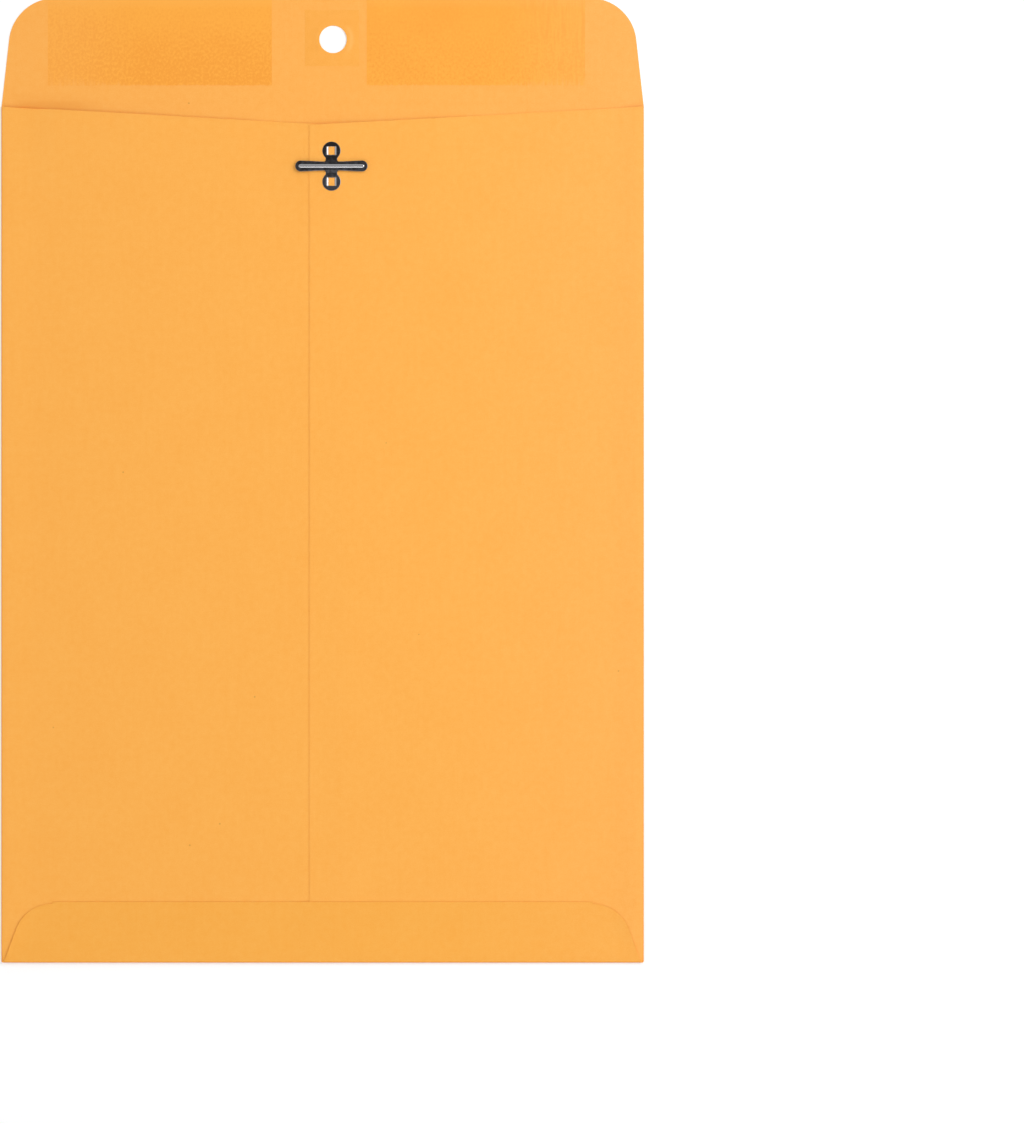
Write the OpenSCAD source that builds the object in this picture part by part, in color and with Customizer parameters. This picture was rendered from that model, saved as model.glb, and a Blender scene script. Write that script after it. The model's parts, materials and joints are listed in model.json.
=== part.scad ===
// Clasp envelope: a folded kraft paper pocket with a gummed flap and a two-prong metal clasp.
// Millimetres. The envelope lies on its front with the clasp side up and the flap open.
// X runs across it, Y runs from the bottom fold to the flap's free edge, and Z is up.
// The origin is the middle of the footprint, on the surface that the envelope lies on.

/* [Pocket] */
// Thickness of the kraft paper
paper_t = 0.15; // [0.1:0.01:0.25]
// Width of the pocket over its side folds
pocket_w = 228.6; // [180:0.1:330]
// Height of the pocket from the bottom fold to the flap fold
pocket_h = 304.8; // [220:0.1:440]
// Clear gap between the front panel and the left back panel
pocket_gap = 0.6; // [0.45:0.05:1.5]
// Drop of the throat edge from a side fold to the middle of the pocket
throat_drop = 6.35; // [0:0.05:12]
// Gap along Y between the throat corners and the flap fold
throat_clearance = 0.15; // [0.1:0.05:1]

/* [Seam] */
// Distance of the seam edge to the left of the middle
seam_offset = 4.7; // [3:0.1:7]
// Width by which the right back panel laps over the left one
seam_lap = 14; // [13:0.5:40]
// Bare margin of the lap on each side of the seam glue
seam_glue_margin = 2; // [0.5:0.1:4]
// Thickness of the seam glue
seam_glue_t = 0.03; // [0.02:0.01:0.1]

/* [Bottom flap] */
// Height of the bottom flap above the bottom fold
bottom_flap_h = 21.6; // [16:0.1:40]
// Bare corner at each end of the bottom fold
bottom_flap_inset = 1.15; // [1:0.05:6]
// Lean of the bottom flap's sides, in degrees
bottom_flap_taper = 20; // [5:1:30]
// Corner radius of the bottom flap
bottom_flap_r = 13.7; // [6:0.1:15]
// Depth of the nick where a corner cut meets the bottom flap's straight edge
bottom_flap_nick = 0.7; // [0.1:0.1:2]
// Bare margin of the bottom flap round its glue
bottom_glue_margin = 3; // [1:0.5:5]
// Thickness of the bottom flap's glue over the right back panel
bottom_glue_t = 0.03; // [0.02:0.01:0.1]

/* [Closure flap] */
// Height of the closure flap above its fold
flap_h = 38.5; // [34:0.1:60]
// Lean of the closure flap's sides, in degrees
flap_taper = 6.4; // [2:0.1:12]
// Corner radius of the closure flap
flap_r = 16.6; // [5:0.1:18]
// Distance of the clasp's centre to the right of the middle
clasp_offset = 3.2; // [0:0.1:6]
// Distance of the hole's centre to the right of the clasp's centre
hole_shift = 0.5; // [-1:0.1:1]
// Distance from the flap fold to the hole's centre
hole_from_fold = 23.8; // [20:0.1:26]
// Diameter of the flap's hole
hole_d = 9.8; // [9:0.1:12]
// Width of the patch round the hole
patch_w = 19.4; // [14:0.1:22]
// Height of the patch round the hole
patch_h = 20.1; // [14:0.1:22]
// Distance of the patch's centre to the right of the hole's centre
patch_shift = -0.4; // [-1:0.1:1]
// Distance of the patch's centre above the hole's centre, away from the flap fold
patch_lift = 0.5; // [-1:0.1:1]
// Thickness of the patch
patch_t = 0.1; // [0.05:0.01:0.2]

/* [Gum] */
// Thickness of the gum
gum_t = 0.03; // [0.02:0.01:0.05]
// Distance from the flap fold to the gum
gum_from_fold = 7.4; // [4:0.1:12]
// Bare margin between the gum and the flap's free edge
gum_margin = 0.5; // [0.2:0.1:4]
// Distance from the left side of the pocket to the left gum strip
left_gum_inset = 16.5; // [12:0.1:40]
// Distance from the left gum strip to the clasp's centre
left_gum_gap = 21.3; // [12:0.1:30]
// Distance from the clasp's centre to the right gum strip
right_gum_gap = 12.5; // [12:0.1:30]
// Distance from the right gum strip to the right side of the pocket
right_gum_inset = 20.9; // [12:0.1:40]

/* [Clasp] */
// Thickness of the clasp's tinplate
clasp_t = 0.25; // [0.2:0.01:0.35]
// Length over both prongs
prong_span = 25.7; // [20:0.1:32]
// Width of a prong at its root
prong_root_w = 3.15; // [2:0.05:3.4]
// Width of a prong at its tip
prong_tip_w = 3.9; // [3:0.1:5]
// Width of the necks between the lobes and the bridge
neck_w = 4.05; // [3.8:0.05:4.6]
// Width of the bridge between the roots of the prongs
bridge_w = 5.5; // [4.6:0.1:6.2]
// Diameter of a lobe
lobe_d = 6.5; // [5.8:0.1:8]
// Distance between the centres of the two lobes
lobe_pitch = 11; // [10.4:0.02:14]
// Width of the window in a lobe
window_w = 3.4; // [3:0.05:3.8]
// Height of the window in a lobe
window_h = 2.9; // [2.6:0.05:3.6]
// Clear width between the two tangs in a window
tang_gap = 2.2; // [1.6:0.05:2.4]
// Reach of a clinched tang beyond its leg
clinch_reach = 0.95; // [0.5:0.05:1.5]
// Length of the rib along both prongs
rib_l = 23.4; // [16:0.1:24]
// Width of the rib
rib_w = 1.28; // [1:0.02:1.8]
// Height of the rib
rib_h = 0.22; // [0.1:0.01:0.3]
// Run of the slope between a neck and the bridge, along Y
neck_run = 0.7; // [0.5:0.05:1.2]

/* [Fits] */
// Gap above and below the closed flap, under the prongs and over the lobes
closing_clearance = 0.05; // [0.03:0.01:0.15]
// Gap round a tang in its slit, and between a prong and the bridge
metal_clearance = 0.03; // [0.02:0.01:0.06]

/* [Hidden] */
$fn = 64;

// Layers of the pocket, from the surface that it lies on upwards
left_back_z = paper_t + pocket_gap;
left_back_top = left_back_z + paper_t;
right_back_z = left_back_top + seam_glue_t;
right_back_top = right_back_z + paper_t;
bottom_flap_z = right_back_top + bottom_glue_t;
bottom_flap_top = bottom_flap_z + paper_t;
left_fold_r = left_back_top / 2;
right_fold_r = right_back_top / 2;
bottom_fold_r = bottom_flap_top / 2;

// Layers of the clasp: the closed flap slides in over the lobes and under the prongs
lobe_top = right_back_top + clasp_t;
closed_inner_z = lobe_top + closing_clearance + max(patch_t, gum_t);
bar_z = closed_inner_z + paper_t + closing_clearance;
bar_top = bar_z + clasp_t;

// The flap's fold: a strip that curls into a half turn about the axis when the flap closes
flap_axis_z = (paper_t + closed_inner_z) / 2;
fold_l = PI * (flap_axis_z - paper_t / 2);

// Places along Y
overall_l = pocket_h + flap_h;
bottom_y = -overall_l / 2;
fold_y = bottom_y + pocket_h;
flap_axis_y = fold_y + fold_l / 2;
hole_y = fold_y + hole_from_fold;
patch_y = hole_y + patch_lift;
clasp_y = 2 * flap_axis_y - hole_y;
panel_bottom_y = bottom_y + bottom_fold_r;
throat_y = fold_y - throat_clearance;
bottom_corner_h = bottom_flap_h - bottom_fold_r - bottom_flap_nick;

// Places along X
left_x = -pocket_w / 2;
right_x = pocket_w / 2;
panel_left_x = left_x + left_fold_r;
panel_right_x = right_x - right_fold_r;
seam_x = -seam_offset;
lap_x = seam_x + seam_lap;
inset_left_x = left_x + bottom_flap_inset;
inset_right_x = right_x - bottom_flap_inset;
bottom_root_w = inset_right_x - inset_left_x;
clasp_x = clasp_offset;
hole_x = clasp_x + hole_shift;
patch_x = hole_x + patch_shift;

// The clasp's own places, measured from its centre
prong_axis_x = bridge_w / 2 + metal_clearance + clasp_t / 2;
prong_axis_z = bar_z + clasp_t / 2;
prong_tip_x = prong_span / 2 - prong_tip_w / 2;
rib_r = (pow(rib_w / 2, 2) + pow(rib_h, 2)) / (2 * rib_h);
rib_axis_z = bar_top + rib_h - rib_r;
rib_tip_x = (rib_l - rib_w) / 2;
rib_root_x = prong_axis_x + clasp_t / 2 + rib_h + closing_clearance;
tang_in_x = tang_gap / 2;
tang_out_x = tang_in_x + clasp_t;

kraft = [0.95, 0.66, 0.30];
gum_colour = [0.93, 0.60, 0.22];
glue_colour = [0.90, 0.82, 0.62];
tinplate = [0.30, 0.30, 0.32];

echo(hole = [hole_x, hole_y], clasp = [clasp_x, clasp_y], flap_axis = [flap_axis_y, flap_axis_z]);
echo(prong_axis = [clasp_x - prong_axis_x, clasp_x + prong_axis_x, prong_axis_z], patch_top = paper_t + patch_t);

// Throat edge of each back panel: a straight slope from its side fold
function left_throat_y(x) = throat_y - throat_drop * (x - left_x) / (pocket_w / 2);
function right_throat_y(x) = throat_y - throat_drop * (right_x - x) / (pocket_w / 2);

// Half tube of folded paper along +Y, standing on z = 0 with its open side towards +X
module half_fold(outer_r, length) {
    translate([outer_r, 0, outer_r])
        rotate([-90, 0, 0])
            linear_extrude(length)
                difference() {
                    circle(r = outer_r);
                    circle(r = outer_r - paper_t);
                    translate([0, -2 * outer_r]) square(4 * outer_r);
                }
}

// Half the straight stretch of a flap's free edge, between its two round corners
function free_edge_x(root_w, height, taper, corner_r) =
    root_w / 2 - (corner_r + (height - corner_r) * sin(taper)) / cos(taper);

// Flap outline on its root at y = 0: leaning sides and two round corners
module flap_outline(root_w, height, taper, corner_r) {
    centre_x = free_edge_x(root_w, height, taper, corner_r);
    centre_y = height - corner_r;
    side_x = centre_x + corner_r * cos(taper);
    side_y = centre_y + corner_r * sin(taper);
    polygon([
        [-root_w / 2, 0], [root_w / 2, 0], [side_x, side_y], [centre_x, height],
        [-centre_x, height], [-side_x, side_y]
    ]);
    for (side = [0, 1])
        mirror([side, 0])
            translate([centre_x, centre_y])
                intersection() {
                    circle(r = corner_r);
                    square(corner_r);
                }
}

// The closure flap's outline, from its fold to its free edge
module closure_outline() {
    translate([0, fold_y]) flap_outline(pocket_w, flap_h, flap_taper, flap_r);
}

// Slits that the tangs pass through, in plan
module tang_slits() {
    slit_w = clasp_t + 2 * metal_clearance;
    slit_h = window_h + 2 * metal_clearance;
    for (side = [-1, 1], lobe = [-1, 1])
        translate([clasp_x + side * (tang_in_x + tang_out_x) / 2, clasp_y + lobe * lobe_pitch / 2])
            square([slit_w, slit_h], center = true);
}

module front_panel() {
    color(kraft)
        linear_extrude(paper_t)
            polygon([
                [panel_left_x, bottom_y], [inset_left_x, bottom_y], [inset_left_x, panel_bottom_y],
                [inset_right_x, panel_bottom_y], [inset_right_x, bottom_y], [panel_right_x, bottom_y],
                [panel_right_x, fold_y], [panel_left_x, fold_y]
            ]);
}

module left_side_fold() {
    color(kraft)
        translate([left_x, bottom_y, 0]) half_fold(left_fold_r, pocket_h - throat_clearance);
}

module left_back_panel() {
    color(kraft)
        translate([0, 0, left_back_z])
            linear_extrude(paper_t)
                difference() {
                    polygon([
                        [panel_left_x, panel_bottom_y], [lap_x, panel_bottom_y],
                        [lap_x, left_throat_y(lap_x)], [panel_left_x, left_throat_y(panel_left_x)]
                    ]);
                    tang_slits();
                }
}

module right_side_fold() {
    color(kraft)
        translate([right_x, bottom_y, 0])
            mirror([1, 0, 0]) half_fold(right_fold_r, pocket_h - throat_clearance);
}

module right_back_panel() {
    color(kraft)
        translate([0, 0, right_back_z])
            linear_extrude(paper_t)
                difference() {
                    polygon([
                        [seam_x, panel_bottom_y], [panel_right_x, panel_bottom_y],
                        [panel_right_x, right_throat_y(panel_right_x)], [seam_x, right_throat_y(seam_x)]
                    ]);
                    tang_slits();
                }
}

module bottom_fold() {
    color(kraft)
        translate([inset_right_x, bottom_y, 0])
            rotate([0, 0, 90]) half_fold(bottom_fold_r, bottom_root_w);
}

// Bottom flap in plan up to the height of its corner cuts, drawn in by a margin from its free edges
module bottom_flap_outline(margin = 0) {
    translate([0, panel_bottom_y])
        flap_outline(
            bottom_root_w - 2 * margin, bottom_corner_h - margin, bottom_flap_taper, bottom_flap_r - margin
        );
}

// The straight edge between the corner cuts stands above them by the nick
module bottom_flap() {
    edge_x = free_edge_x(bottom_root_w, bottom_corner_h, bottom_flap_taper, bottom_flap_r);
    color(kraft)
        translate([0, 0, bottom_flap_z])
            linear_extrude(paper_t) {
                bottom_flap_outline();
                translate([-edge_x, panel_bottom_y]) square([2 * edge_x, bottom_corner_h + bottom_flap_nick]);
            }
}

module flap_fold() {
    color(kraft)
        linear_extrude(paper_t)
            intersection() {
                closure_outline();
                translate([left_x, fold_y]) square([pocket_w, fold_l]);
            }
}

module closure_flap() {
    color(kraft)
        difference() {
            linear_extrude(paper_t)
                intersection() {
                    closure_outline();
                    translate([left_x, fold_y + fold_l]) square([pocket_w, flap_h]);
                }
            translate([hole_x, hole_y, -paper_t]) cylinder(d = hole_d, h = 3 * paper_t);
        }
}

module seam_glue() {
    glue_w = seam_lap - 2 * seam_glue_margin;
    glue_top_y = min(left_throat_y(lap_x), right_throat_y(seam_x)) - seam_glue_margin;
    color(glue_colour)
        translate([0, 0, left_back_top])
            linear_extrude(seam_glue_t)
                difference() {
                    translate([seam_x + seam_glue_margin, panel_bottom_y])
                        square([glue_w, glue_top_y - panel_bottom_y]);
                    tang_slits();
                }
}

// The glue also fills the step from the right back panel down to the left one
module bottom_flap_glue() {
    color(glue_colour)
        difference() {
            translate([0, 0, left_back_top])
                linear_extrude(bottom_flap_z - left_back_top) bottom_flap_outline(bottom_glue_margin);
            translate([seam_x, bottom_y, left_back_z])
                cube([pocket_w, pocket_h, right_back_top - left_back_z]);
        }
}

module gum_strip(from_x, to_x) {
    gum_h = flap_h - gum_from_fold - gum_margin;
    color(gum_colour)
        translate([0, 0, paper_t])
            linear_extrude(gum_t)
                intersection() {
                    closure_outline();
                    translate([from_x, fold_y + gum_from_fold]) square([to_x - from_x, gum_h]);
                }
}

module left_gum_strip() {
    gum_strip(left_x + left_gum_inset, clasp_x - left_gum_gap);
}

module right_gum_strip() {
    gum_strip(clasp_x + right_gum_gap, right_x - right_gum_inset);
}

module hole_patch() {
    color(kraft)
        difference() {
            translate([patch_x - patch_w / 2, patch_y - patch_h / 2, paper_t]) cube([patch_w, patch_h, patch_t]);
            translate([hole_x, hole_y, 0]) cylinder(d = hole_d, h = 2 * (paper_t + patch_t));
        }
}

// Round-ended rod along X under the rib's crest, which forms the rib or, thinner, its hollow underside
module rib_rod(from_x, to_x, radius) {
    translate([from_x, 0, rib_axis_z]) rotate([0, 90, 0]) cylinder(r = radius, h = to_x - from_x);
    translate([to_x, 0, rib_axis_z]) sphere(r = radius);
}

// One tang: it slopes down from the window's edge, passes through the paper and is clinched outwards
module tang() {
    clinch_x = tang_out_x + clinch_reach;
    clinch_z = left_back_z - clasp_t;
    translate([0, window_h / 2, 0])
        rotate([90, 0, 0])
            linear_extrude(window_h)
                polygon([
                    [window_w / 2, lobe_top], [tang_in_x, right_back_top], [tang_in_x, clinch_z],
                    [clinch_x, clinch_z], [clinch_x, left_back_z], [tang_out_x, left_back_z],
                    [tang_out_x, right_back_top], [window_w / 2, right_back_top]
                ]);
}

// Necks and bridge: a strip from lobe to lobe, bent up over the place of the closed flap
module bridge() {
    lobe_y = lobe_pitch / 2;
    root_y = prong_root_w / 2;
    foot_y = root_y + neck_run;
    translate([-bridge_w / 2, -root_y, bar_z]) cube([bridge_w, prong_root_w, clasp_t]);
    translate([-neck_w / 2, 0, 0])
        rotate([90, 0, 90])
            linear_extrude(neck_w)
                polygon([
                    [-lobe_y, right_back_top], [-foot_y, right_back_top], [-root_y, bar_z],
                    [root_y, bar_z], [foot_y, right_back_top], [lobe_y, right_back_top],
                    [lobe_y, lobe_top], [foot_y, lobe_top], [root_y, bar_top],
                    [-root_y, bar_top], [-foot_y, lobe_top], [-lobe_y, lobe_top]
                ]);
}

module clasp_base() {
    color(tinplate)
        translate([clasp_x, clasp_y, 0]) {
            difference() {
                union() {
                    bridge();
                    for (lobe = [-1, 1])
                        translate([0, lobe * lobe_pitch / 2, right_back_top]) cylinder(d = lobe_d, h = clasp_t);
                }
                for (lobe = [-1, 1])
                    translate([-window_w / 2, lobe * lobe_pitch / 2 - window_h / 2, right_back_z])
                        cube([window_w, window_h, 3 * clasp_t]);
            }
            for (lobe = [-1, 1])
                translate([0, lobe * lobe_pitch / 2, 0]) {
                    tang();
                    mirror([1, 0, 0]) tang();
                }
            intersection() {
                translate([-bridge_w / 2, 0, rib_axis_z]) rotate([0, 90, 0]) cylinder(r = rib_r, h = bridge_w);
                translate([-bridge_w / 2, -rib_w, bar_top]) cube([bridge_w, 2 * rib_w, rib_h]);
            }
        }
}

// A prong, reaching towards +X from its root bead on the bend's axis
module prong() {
    difference() {
        union() {
            translate([0, 0, bar_z])
                linear_extrude(clasp_t) {
                    polygon([
                        [prong_axis_x, -prong_root_w / 2], [prong_tip_x, -prong_tip_w / 2],
                        [prong_tip_x, prong_tip_w / 2], [prong_axis_x, prong_root_w / 2]
                    ]);
                    translate([prong_tip_x, 0]) circle(d = prong_tip_w);
                }
            translate([prong_axis_x, prong_root_w / 2, prong_axis_z])
                rotate([90, 0, 0]) cylinder(d = clasp_t, h = prong_root_w);
            intersection() {
                rib_rod(rib_root_x, rib_tip_x, rib_r);
                translate([rib_root_x, -rib_w, bar_top]) cube([rib_l, 2 * rib_w, rib_h]);
            }
        }
        rib_rod(rib_root_x, rib_tip_x, rib_r - clasp_t);
    }
}

module left_prong() {
    color(tinplate)
        translate([clasp_x, clasp_y, 0]) mirror([1, 0, 0]) prong();
}

module right_prong() {
    color(tinplate)
        translate([clasp_x, clasp_y, 0]) prong();
}

front_panel();
left_side_fold();
left_back_panel();
right_side_fold();
right_back_panel();
bottom_fold();
bottom_flap();
flap_fold();
closure_flap();
seam_glue();
bottom_flap_glue();
left_gum_strip();
right_gum_strip();
hole_patch();
clasp_base();
left_prong();
right_prong();
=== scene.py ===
"""Looks of a clasp envelope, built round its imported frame.

Paper, gum, glue and tinplate are all thin sheets here. Each is drawn as a flat outline, cut into triangles,
and then bent or embossed into its place. Lengths are in metres and places are in the frame's own axes.
"""

import json
import logging
import math
from dataclasses import dataclass
from enum import Enum
from typing import Callable, Mapping, NamedTuple, Optional, Sequence, Union

import bpy
import numpy as np
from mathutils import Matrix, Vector, noise
from mathutils.geometry import delaunay_2d_cdt


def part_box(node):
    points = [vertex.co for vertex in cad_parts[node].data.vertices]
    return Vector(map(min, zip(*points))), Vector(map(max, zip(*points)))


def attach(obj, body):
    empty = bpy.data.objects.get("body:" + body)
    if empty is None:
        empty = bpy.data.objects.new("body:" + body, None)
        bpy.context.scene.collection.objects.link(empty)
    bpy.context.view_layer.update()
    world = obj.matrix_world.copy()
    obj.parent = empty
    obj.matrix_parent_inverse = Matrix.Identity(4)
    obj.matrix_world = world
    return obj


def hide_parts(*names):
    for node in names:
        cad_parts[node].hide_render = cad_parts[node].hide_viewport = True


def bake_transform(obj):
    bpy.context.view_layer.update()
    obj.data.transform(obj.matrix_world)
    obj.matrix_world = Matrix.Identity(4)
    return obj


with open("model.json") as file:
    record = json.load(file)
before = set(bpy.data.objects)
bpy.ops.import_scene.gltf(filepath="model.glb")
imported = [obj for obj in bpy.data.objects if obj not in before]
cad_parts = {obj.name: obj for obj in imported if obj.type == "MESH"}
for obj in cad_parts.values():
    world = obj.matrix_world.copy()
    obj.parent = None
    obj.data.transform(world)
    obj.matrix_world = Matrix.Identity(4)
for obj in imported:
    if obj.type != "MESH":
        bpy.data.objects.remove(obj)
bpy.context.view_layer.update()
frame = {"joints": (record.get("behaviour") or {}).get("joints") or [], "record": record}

MM = 0.001
NOISE_MEAN = 0.5
RING_STEP = 5.0
TINY = 1e-18
log = logging.getLogger("clasp_envelope")

Point = tuple[float, float]
Loop = list[Point]
Colour = tuple[float, float, float]


class Body(Enum):
    """Moving bodies of the envelope, by their names in the frame."""

    POCKET = "pocket"
    FLAP = "flap"
    LEFT_PRONG = "left_prong"
    RIGHT_PRONG = "right_prong"


class Slot(Enum):
    """Material slots of the envelope, by their names in the record."""

    KRAFT = "kraft_paper"
    PATCH = "patch_paper"
    GUM = "flap_gum"
    GLUE = "paper_glue"
    TINPLATE = "clasp_tinplate"


class Outward(Enum):
    """Edges of the front panel that the paper folds round, as unit vectors pointing out of it."""

    LEFT = (-1.0, 0.0)
    RIGHT = (1.0, 0.0)
    BOTTOM = (0.0, -1.0)


def smoothstep(low: float, high: float, value: float) -> float:
    """Rise smoothly from 0 at low to 1 at high; high may be the smaller of the two.

    Args:
        low: Value at which the result is 0.
        high: Value at which the result is 1.
        value: Value to judge.

    Returns:
        A number from 0 to 1.
    """
    share = min(1.0, max(0.0, (value - low) / (high - low)))
    return share * share * (3.0 - 2.0 * share)


def steps(low: float, high: float, spacing: float) -> list[float]:
    """Divide a stretch evenly, with both of its ends.

    Args:
        low: Start of the stretch.
        high: End of the stretch.
        spacing: Largest distance between two neighbouring values.

    Returns:
        The values from low to high.
    """
    return list(np.linspace(low, high, max(2, math.ceil((high - low) / spacing) + 1)))


def arc(centre: Point, radius: float, start: float, end: float, spacing: float = 6.0) -> Loop:
    """Lay points along a circular arc.

    Args:
        centre: Centre of the arc.
        radius: Radius of the arc.
        start: Angle of the first point, in degrees.
        end: Angle of the last point, in degrees.
        spacing: Largest angle between two points, in degrees.

    Returns:
        The points in order, both ends included.
    """
    count = max(2, math.ceil(abs(end - start) / spacing) + 1)
    angles = np.radians(np.linspace(start, end, count))
    return [(centre[0] + radius * math.cos(a), centre[1] + radius * math.sin(a)) for a in angles]


def circle(centre: Point, radius: float) -> Loop:
    """Return the points of a circle, counter-clockwise."""
    return arc(centre, radius, 0.0, 360.0 - RING_STEP, RING_STEP)


def rectangle(left: float, bottom: float, right: float, top: float) -> Loop:
    """Return the four corners of a rectangle, counter-clockwise."""
    return [(left, bottom), (right, bottom), (right, top), (left, top)]


def mirrored(points: Loop) -> Loop:
    """Return points reflected in the Y axis, in reverse order so that an outline keeps its turn."""
    return [(-x, y) for x, y in reversed(points)]


def shifted(points: Loop, by: Point) -> Loop:
    """Return points moved by a vector."""
    return [(x + by[0], y + by[1]) for x, y in points]


def flap_edge(root_w: float, height: float, taper: float, radius: float, nick: float = 0.0) -> Loop:
    """Draw the free edge of a flap that stands on a root centred on the origin.

    Args:
        root_w: Width of the flap at its root.
        height: Height of the flap above its root.
        taper: Lean of its sides, in degrees.
        radius: Radius of its two corners.
        nick: How far the straight edge stands above the corner cuts that meet it.

    Returns:
        Points from the right end of the root over both round corners to the left end.
    """
    lean = math.radians(taper)
    centre_y = height - nick - radius
    centre_x = root_w / 2 - (radius + centre_y * math.sin(lean)) / math.cos(lean)
    right = [(root_w / 2, 0.0)] + arc((centre_x, centre_y), radius, taper, 90.0, spacing=4.0)
    if nick:
        right.append((centre_x, height))
    return right + mirrored(right)


def segments(paths: Sequence[np.ndarray]) -> tuple[np.ndarray, np.ndarray]:
    """Split open paths into segments.

    Args:
        paths: Arrays of points.

    Returns:
        The segments' start points and end points.
    """
    return np.concatenate([p[:-1] for p in paths]), np.concatenate([p[1:] for p in paths])


def distance_to(paths: Sequence[np.ndarray], places: np.ndarray) -> np.ndarray:
    """Measure how far places lie from the nearest of some paths.

    Args:
        paths: Open paths, as arrays of points.
        places: Places to measure from, one a row.

    Returns:
        One distance for each place.
    """
    nearest = np.full(len(places), np.inf)
    for start, end in zip(*segments(paths)):
        along = end - start
        share = np.clip((places - start) @ along / max(along @ along, TINY), 0.0, 1.0)
        nearest = np.minimum(nearest, np.linalg.norm(places - start - share[:, None] * along, axis=1))
    return nearest


def closed(loop: Loop) -> np.ndarray:
    """Return a loop as an array whose last point repeats the first."""
    return np.array(loop + loop[:1])


def covers(loops: Sequence[Loop], places: np.ndarray) -> np.ndarray:
    """Tell which places lie inside an outline and outside its holes.

    Args:
        loops: The outline and its holes.
        places: Places to test, one a row.

    Returns:
        True for each place that is covered.
    """
    x, y = places.T
    odd = np.zeros(len(places), bool)
    for (ax, ay), (bx, by) in zip(*segments([closed(loop) for loop in loops])):
        if ay != by:
            odd ^= ((ay > y) != (by > y)) & (x < ax + (bx - ax) * (y - ay) / (by - ay))
    return odd


def inset(loop: Loop, distance: float) -> Loop:
    """Move a counter-clockwise loop inwards, or a hole's outwards with a negative distance.

    Args:
        loop: The loop's points.
        distance: How far each point moves, square to the loop.

    Returns:
        The moved points.
    """
    ring = np.array(loop)
    along = np.roll(ring, -1, axis=0) - ring
    normal = np.column_stack([-along[:, 1], along[:, 0]]) / np.linalg.norm(along, axis=1)[:, None]
    both = normal + np.roll(normal, 1, axis=0)
    both /= np.linalg.norm(both, axis=1)[:, None]
    return [tuple(p) for p in ring + both * distance]


class SheetPoint(NamedTuple):
    """One place of a sheet: its upper and lower skin, and its share of rubbing, painted shade and painted
    highlight there.
    """

    upper: Vector
    lower: Vector
    wear_and_painted_light: float = 0.0


Skins = Callable[[float, float], SheetPoint]


class Plan:
    """A flat outline cut into triangles, with grid points inside so that it can bend."""

    PER_METRE = 1000.0
    CLEARANCE = 0.04 * MM
    WELD = 1e-6
    LEAN = 1e-5

    def __init__(
        self, loops: Sequence[Loop], columns: Sequence[float], rows: Sequence[float],
        extra: Sequence[Point] = ()
    ) -> None:
        """Cut an outline into triangles; the grid leans a hair so that all its cells are cut the same way.

        Args:
            loops: The outline, and then its holes.
            columns: Places along X of the grid's points.
            rows: Places along Y of the grid's points.
            extra: Points to add to the grid's.
        """
        rings = [self._divided(loop, columns, rows) for loop in loops]
        grid = np.array([(x + self.LEAN * y, y) for x in columns for y in rows] + list(extra))
        clear = distance_to([closed(ring) for ring in rings], grid) > self.CLEARANCE
        grid = grid[covers(loops, grid) & clear]
        points, edges = [], []
        for ring in rings:
            first, count = len(points), len(ring)
            edges += [(first + i, first + (i + 1) % count) for i in range(count)]
            points += ring
        points += [tuple(p) for p in grid]
        scaled = [Vector(p) * self.PER_METRE for p in points]
        verts, _, faces, *_ = delaunay_2d_cdt(scaled, edges, [], 0, self.WELD)
        self.places = np.array([tuple(v) for v in verts]) / self.PER_METRE
        self.triangles = self._facing_up(np.array([tuple(f) for f in faces]), loops)
        sides = {(t[i], t[i - 2]) for t in self.triangles.tolist() for i in range(3)}
        self.rim = sorted((a, b) for a, b in sides if (b, a) not in sides)

    @staticmethod
    def _divided(loop: Loop, columns: Sequence[float], rows: Sequence[float]) -> Loop:
        """Add a point to a loop wherever one of the grid's lines crosses it.

        Args:
            loop: The loop's points.
            columns: Places of the grid's lines along X.
            rows: Places of the grid's lines along Y.

        Returns:
            The loop with its added points.
        """
        points: Loop = []
        for (ax, ay), (bx, by) in zip(loop, loop[1:] + loop[:1]):
            shares = [(c - ax) / (bx - ax) for c in columns if bx != ax]
            shares += [(r - ay) / (by - ay) for r in rows if by != ay]
            points.append((ax, ay))
            length, last = math.hypot(bx - ax, by - ay), 0.0
            for share in sorted(s for s in shares if 0.0 < s < 1.0):
                if min(share - last, 1.0 - share) * length > Plan.CLEARANCE:
                    points.append((ax + share * (bx - ax), ay + share * (by - ay)))
                    last = share
        return points

    def _facing_up(self, faces: np.ndarray, loops: Sequence[Loop]) -> np.ndarray:
        """Keep the triangles that the outline covers and turn them counter-clockwise.

        Args:
            faces: Triangles as rows of indices.
            loops: The outline and its holes.

        Returns:
            The kept triangles.
        """
        corners = self.places[faces]
        first, second = corners[:, 1] - corners[:, 0], corners[:, 2] - corners[:, 0]
        area = first[:, 0] * second[:, 1] - first[:, 1] * second[:, 0]
        faces = np.where((area < 0)[:, None], faces[:, ::-1], faces)
        return faces[covers(loops, corners.mean(axis=1)) & (np.abs(area) > 0)]


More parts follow.
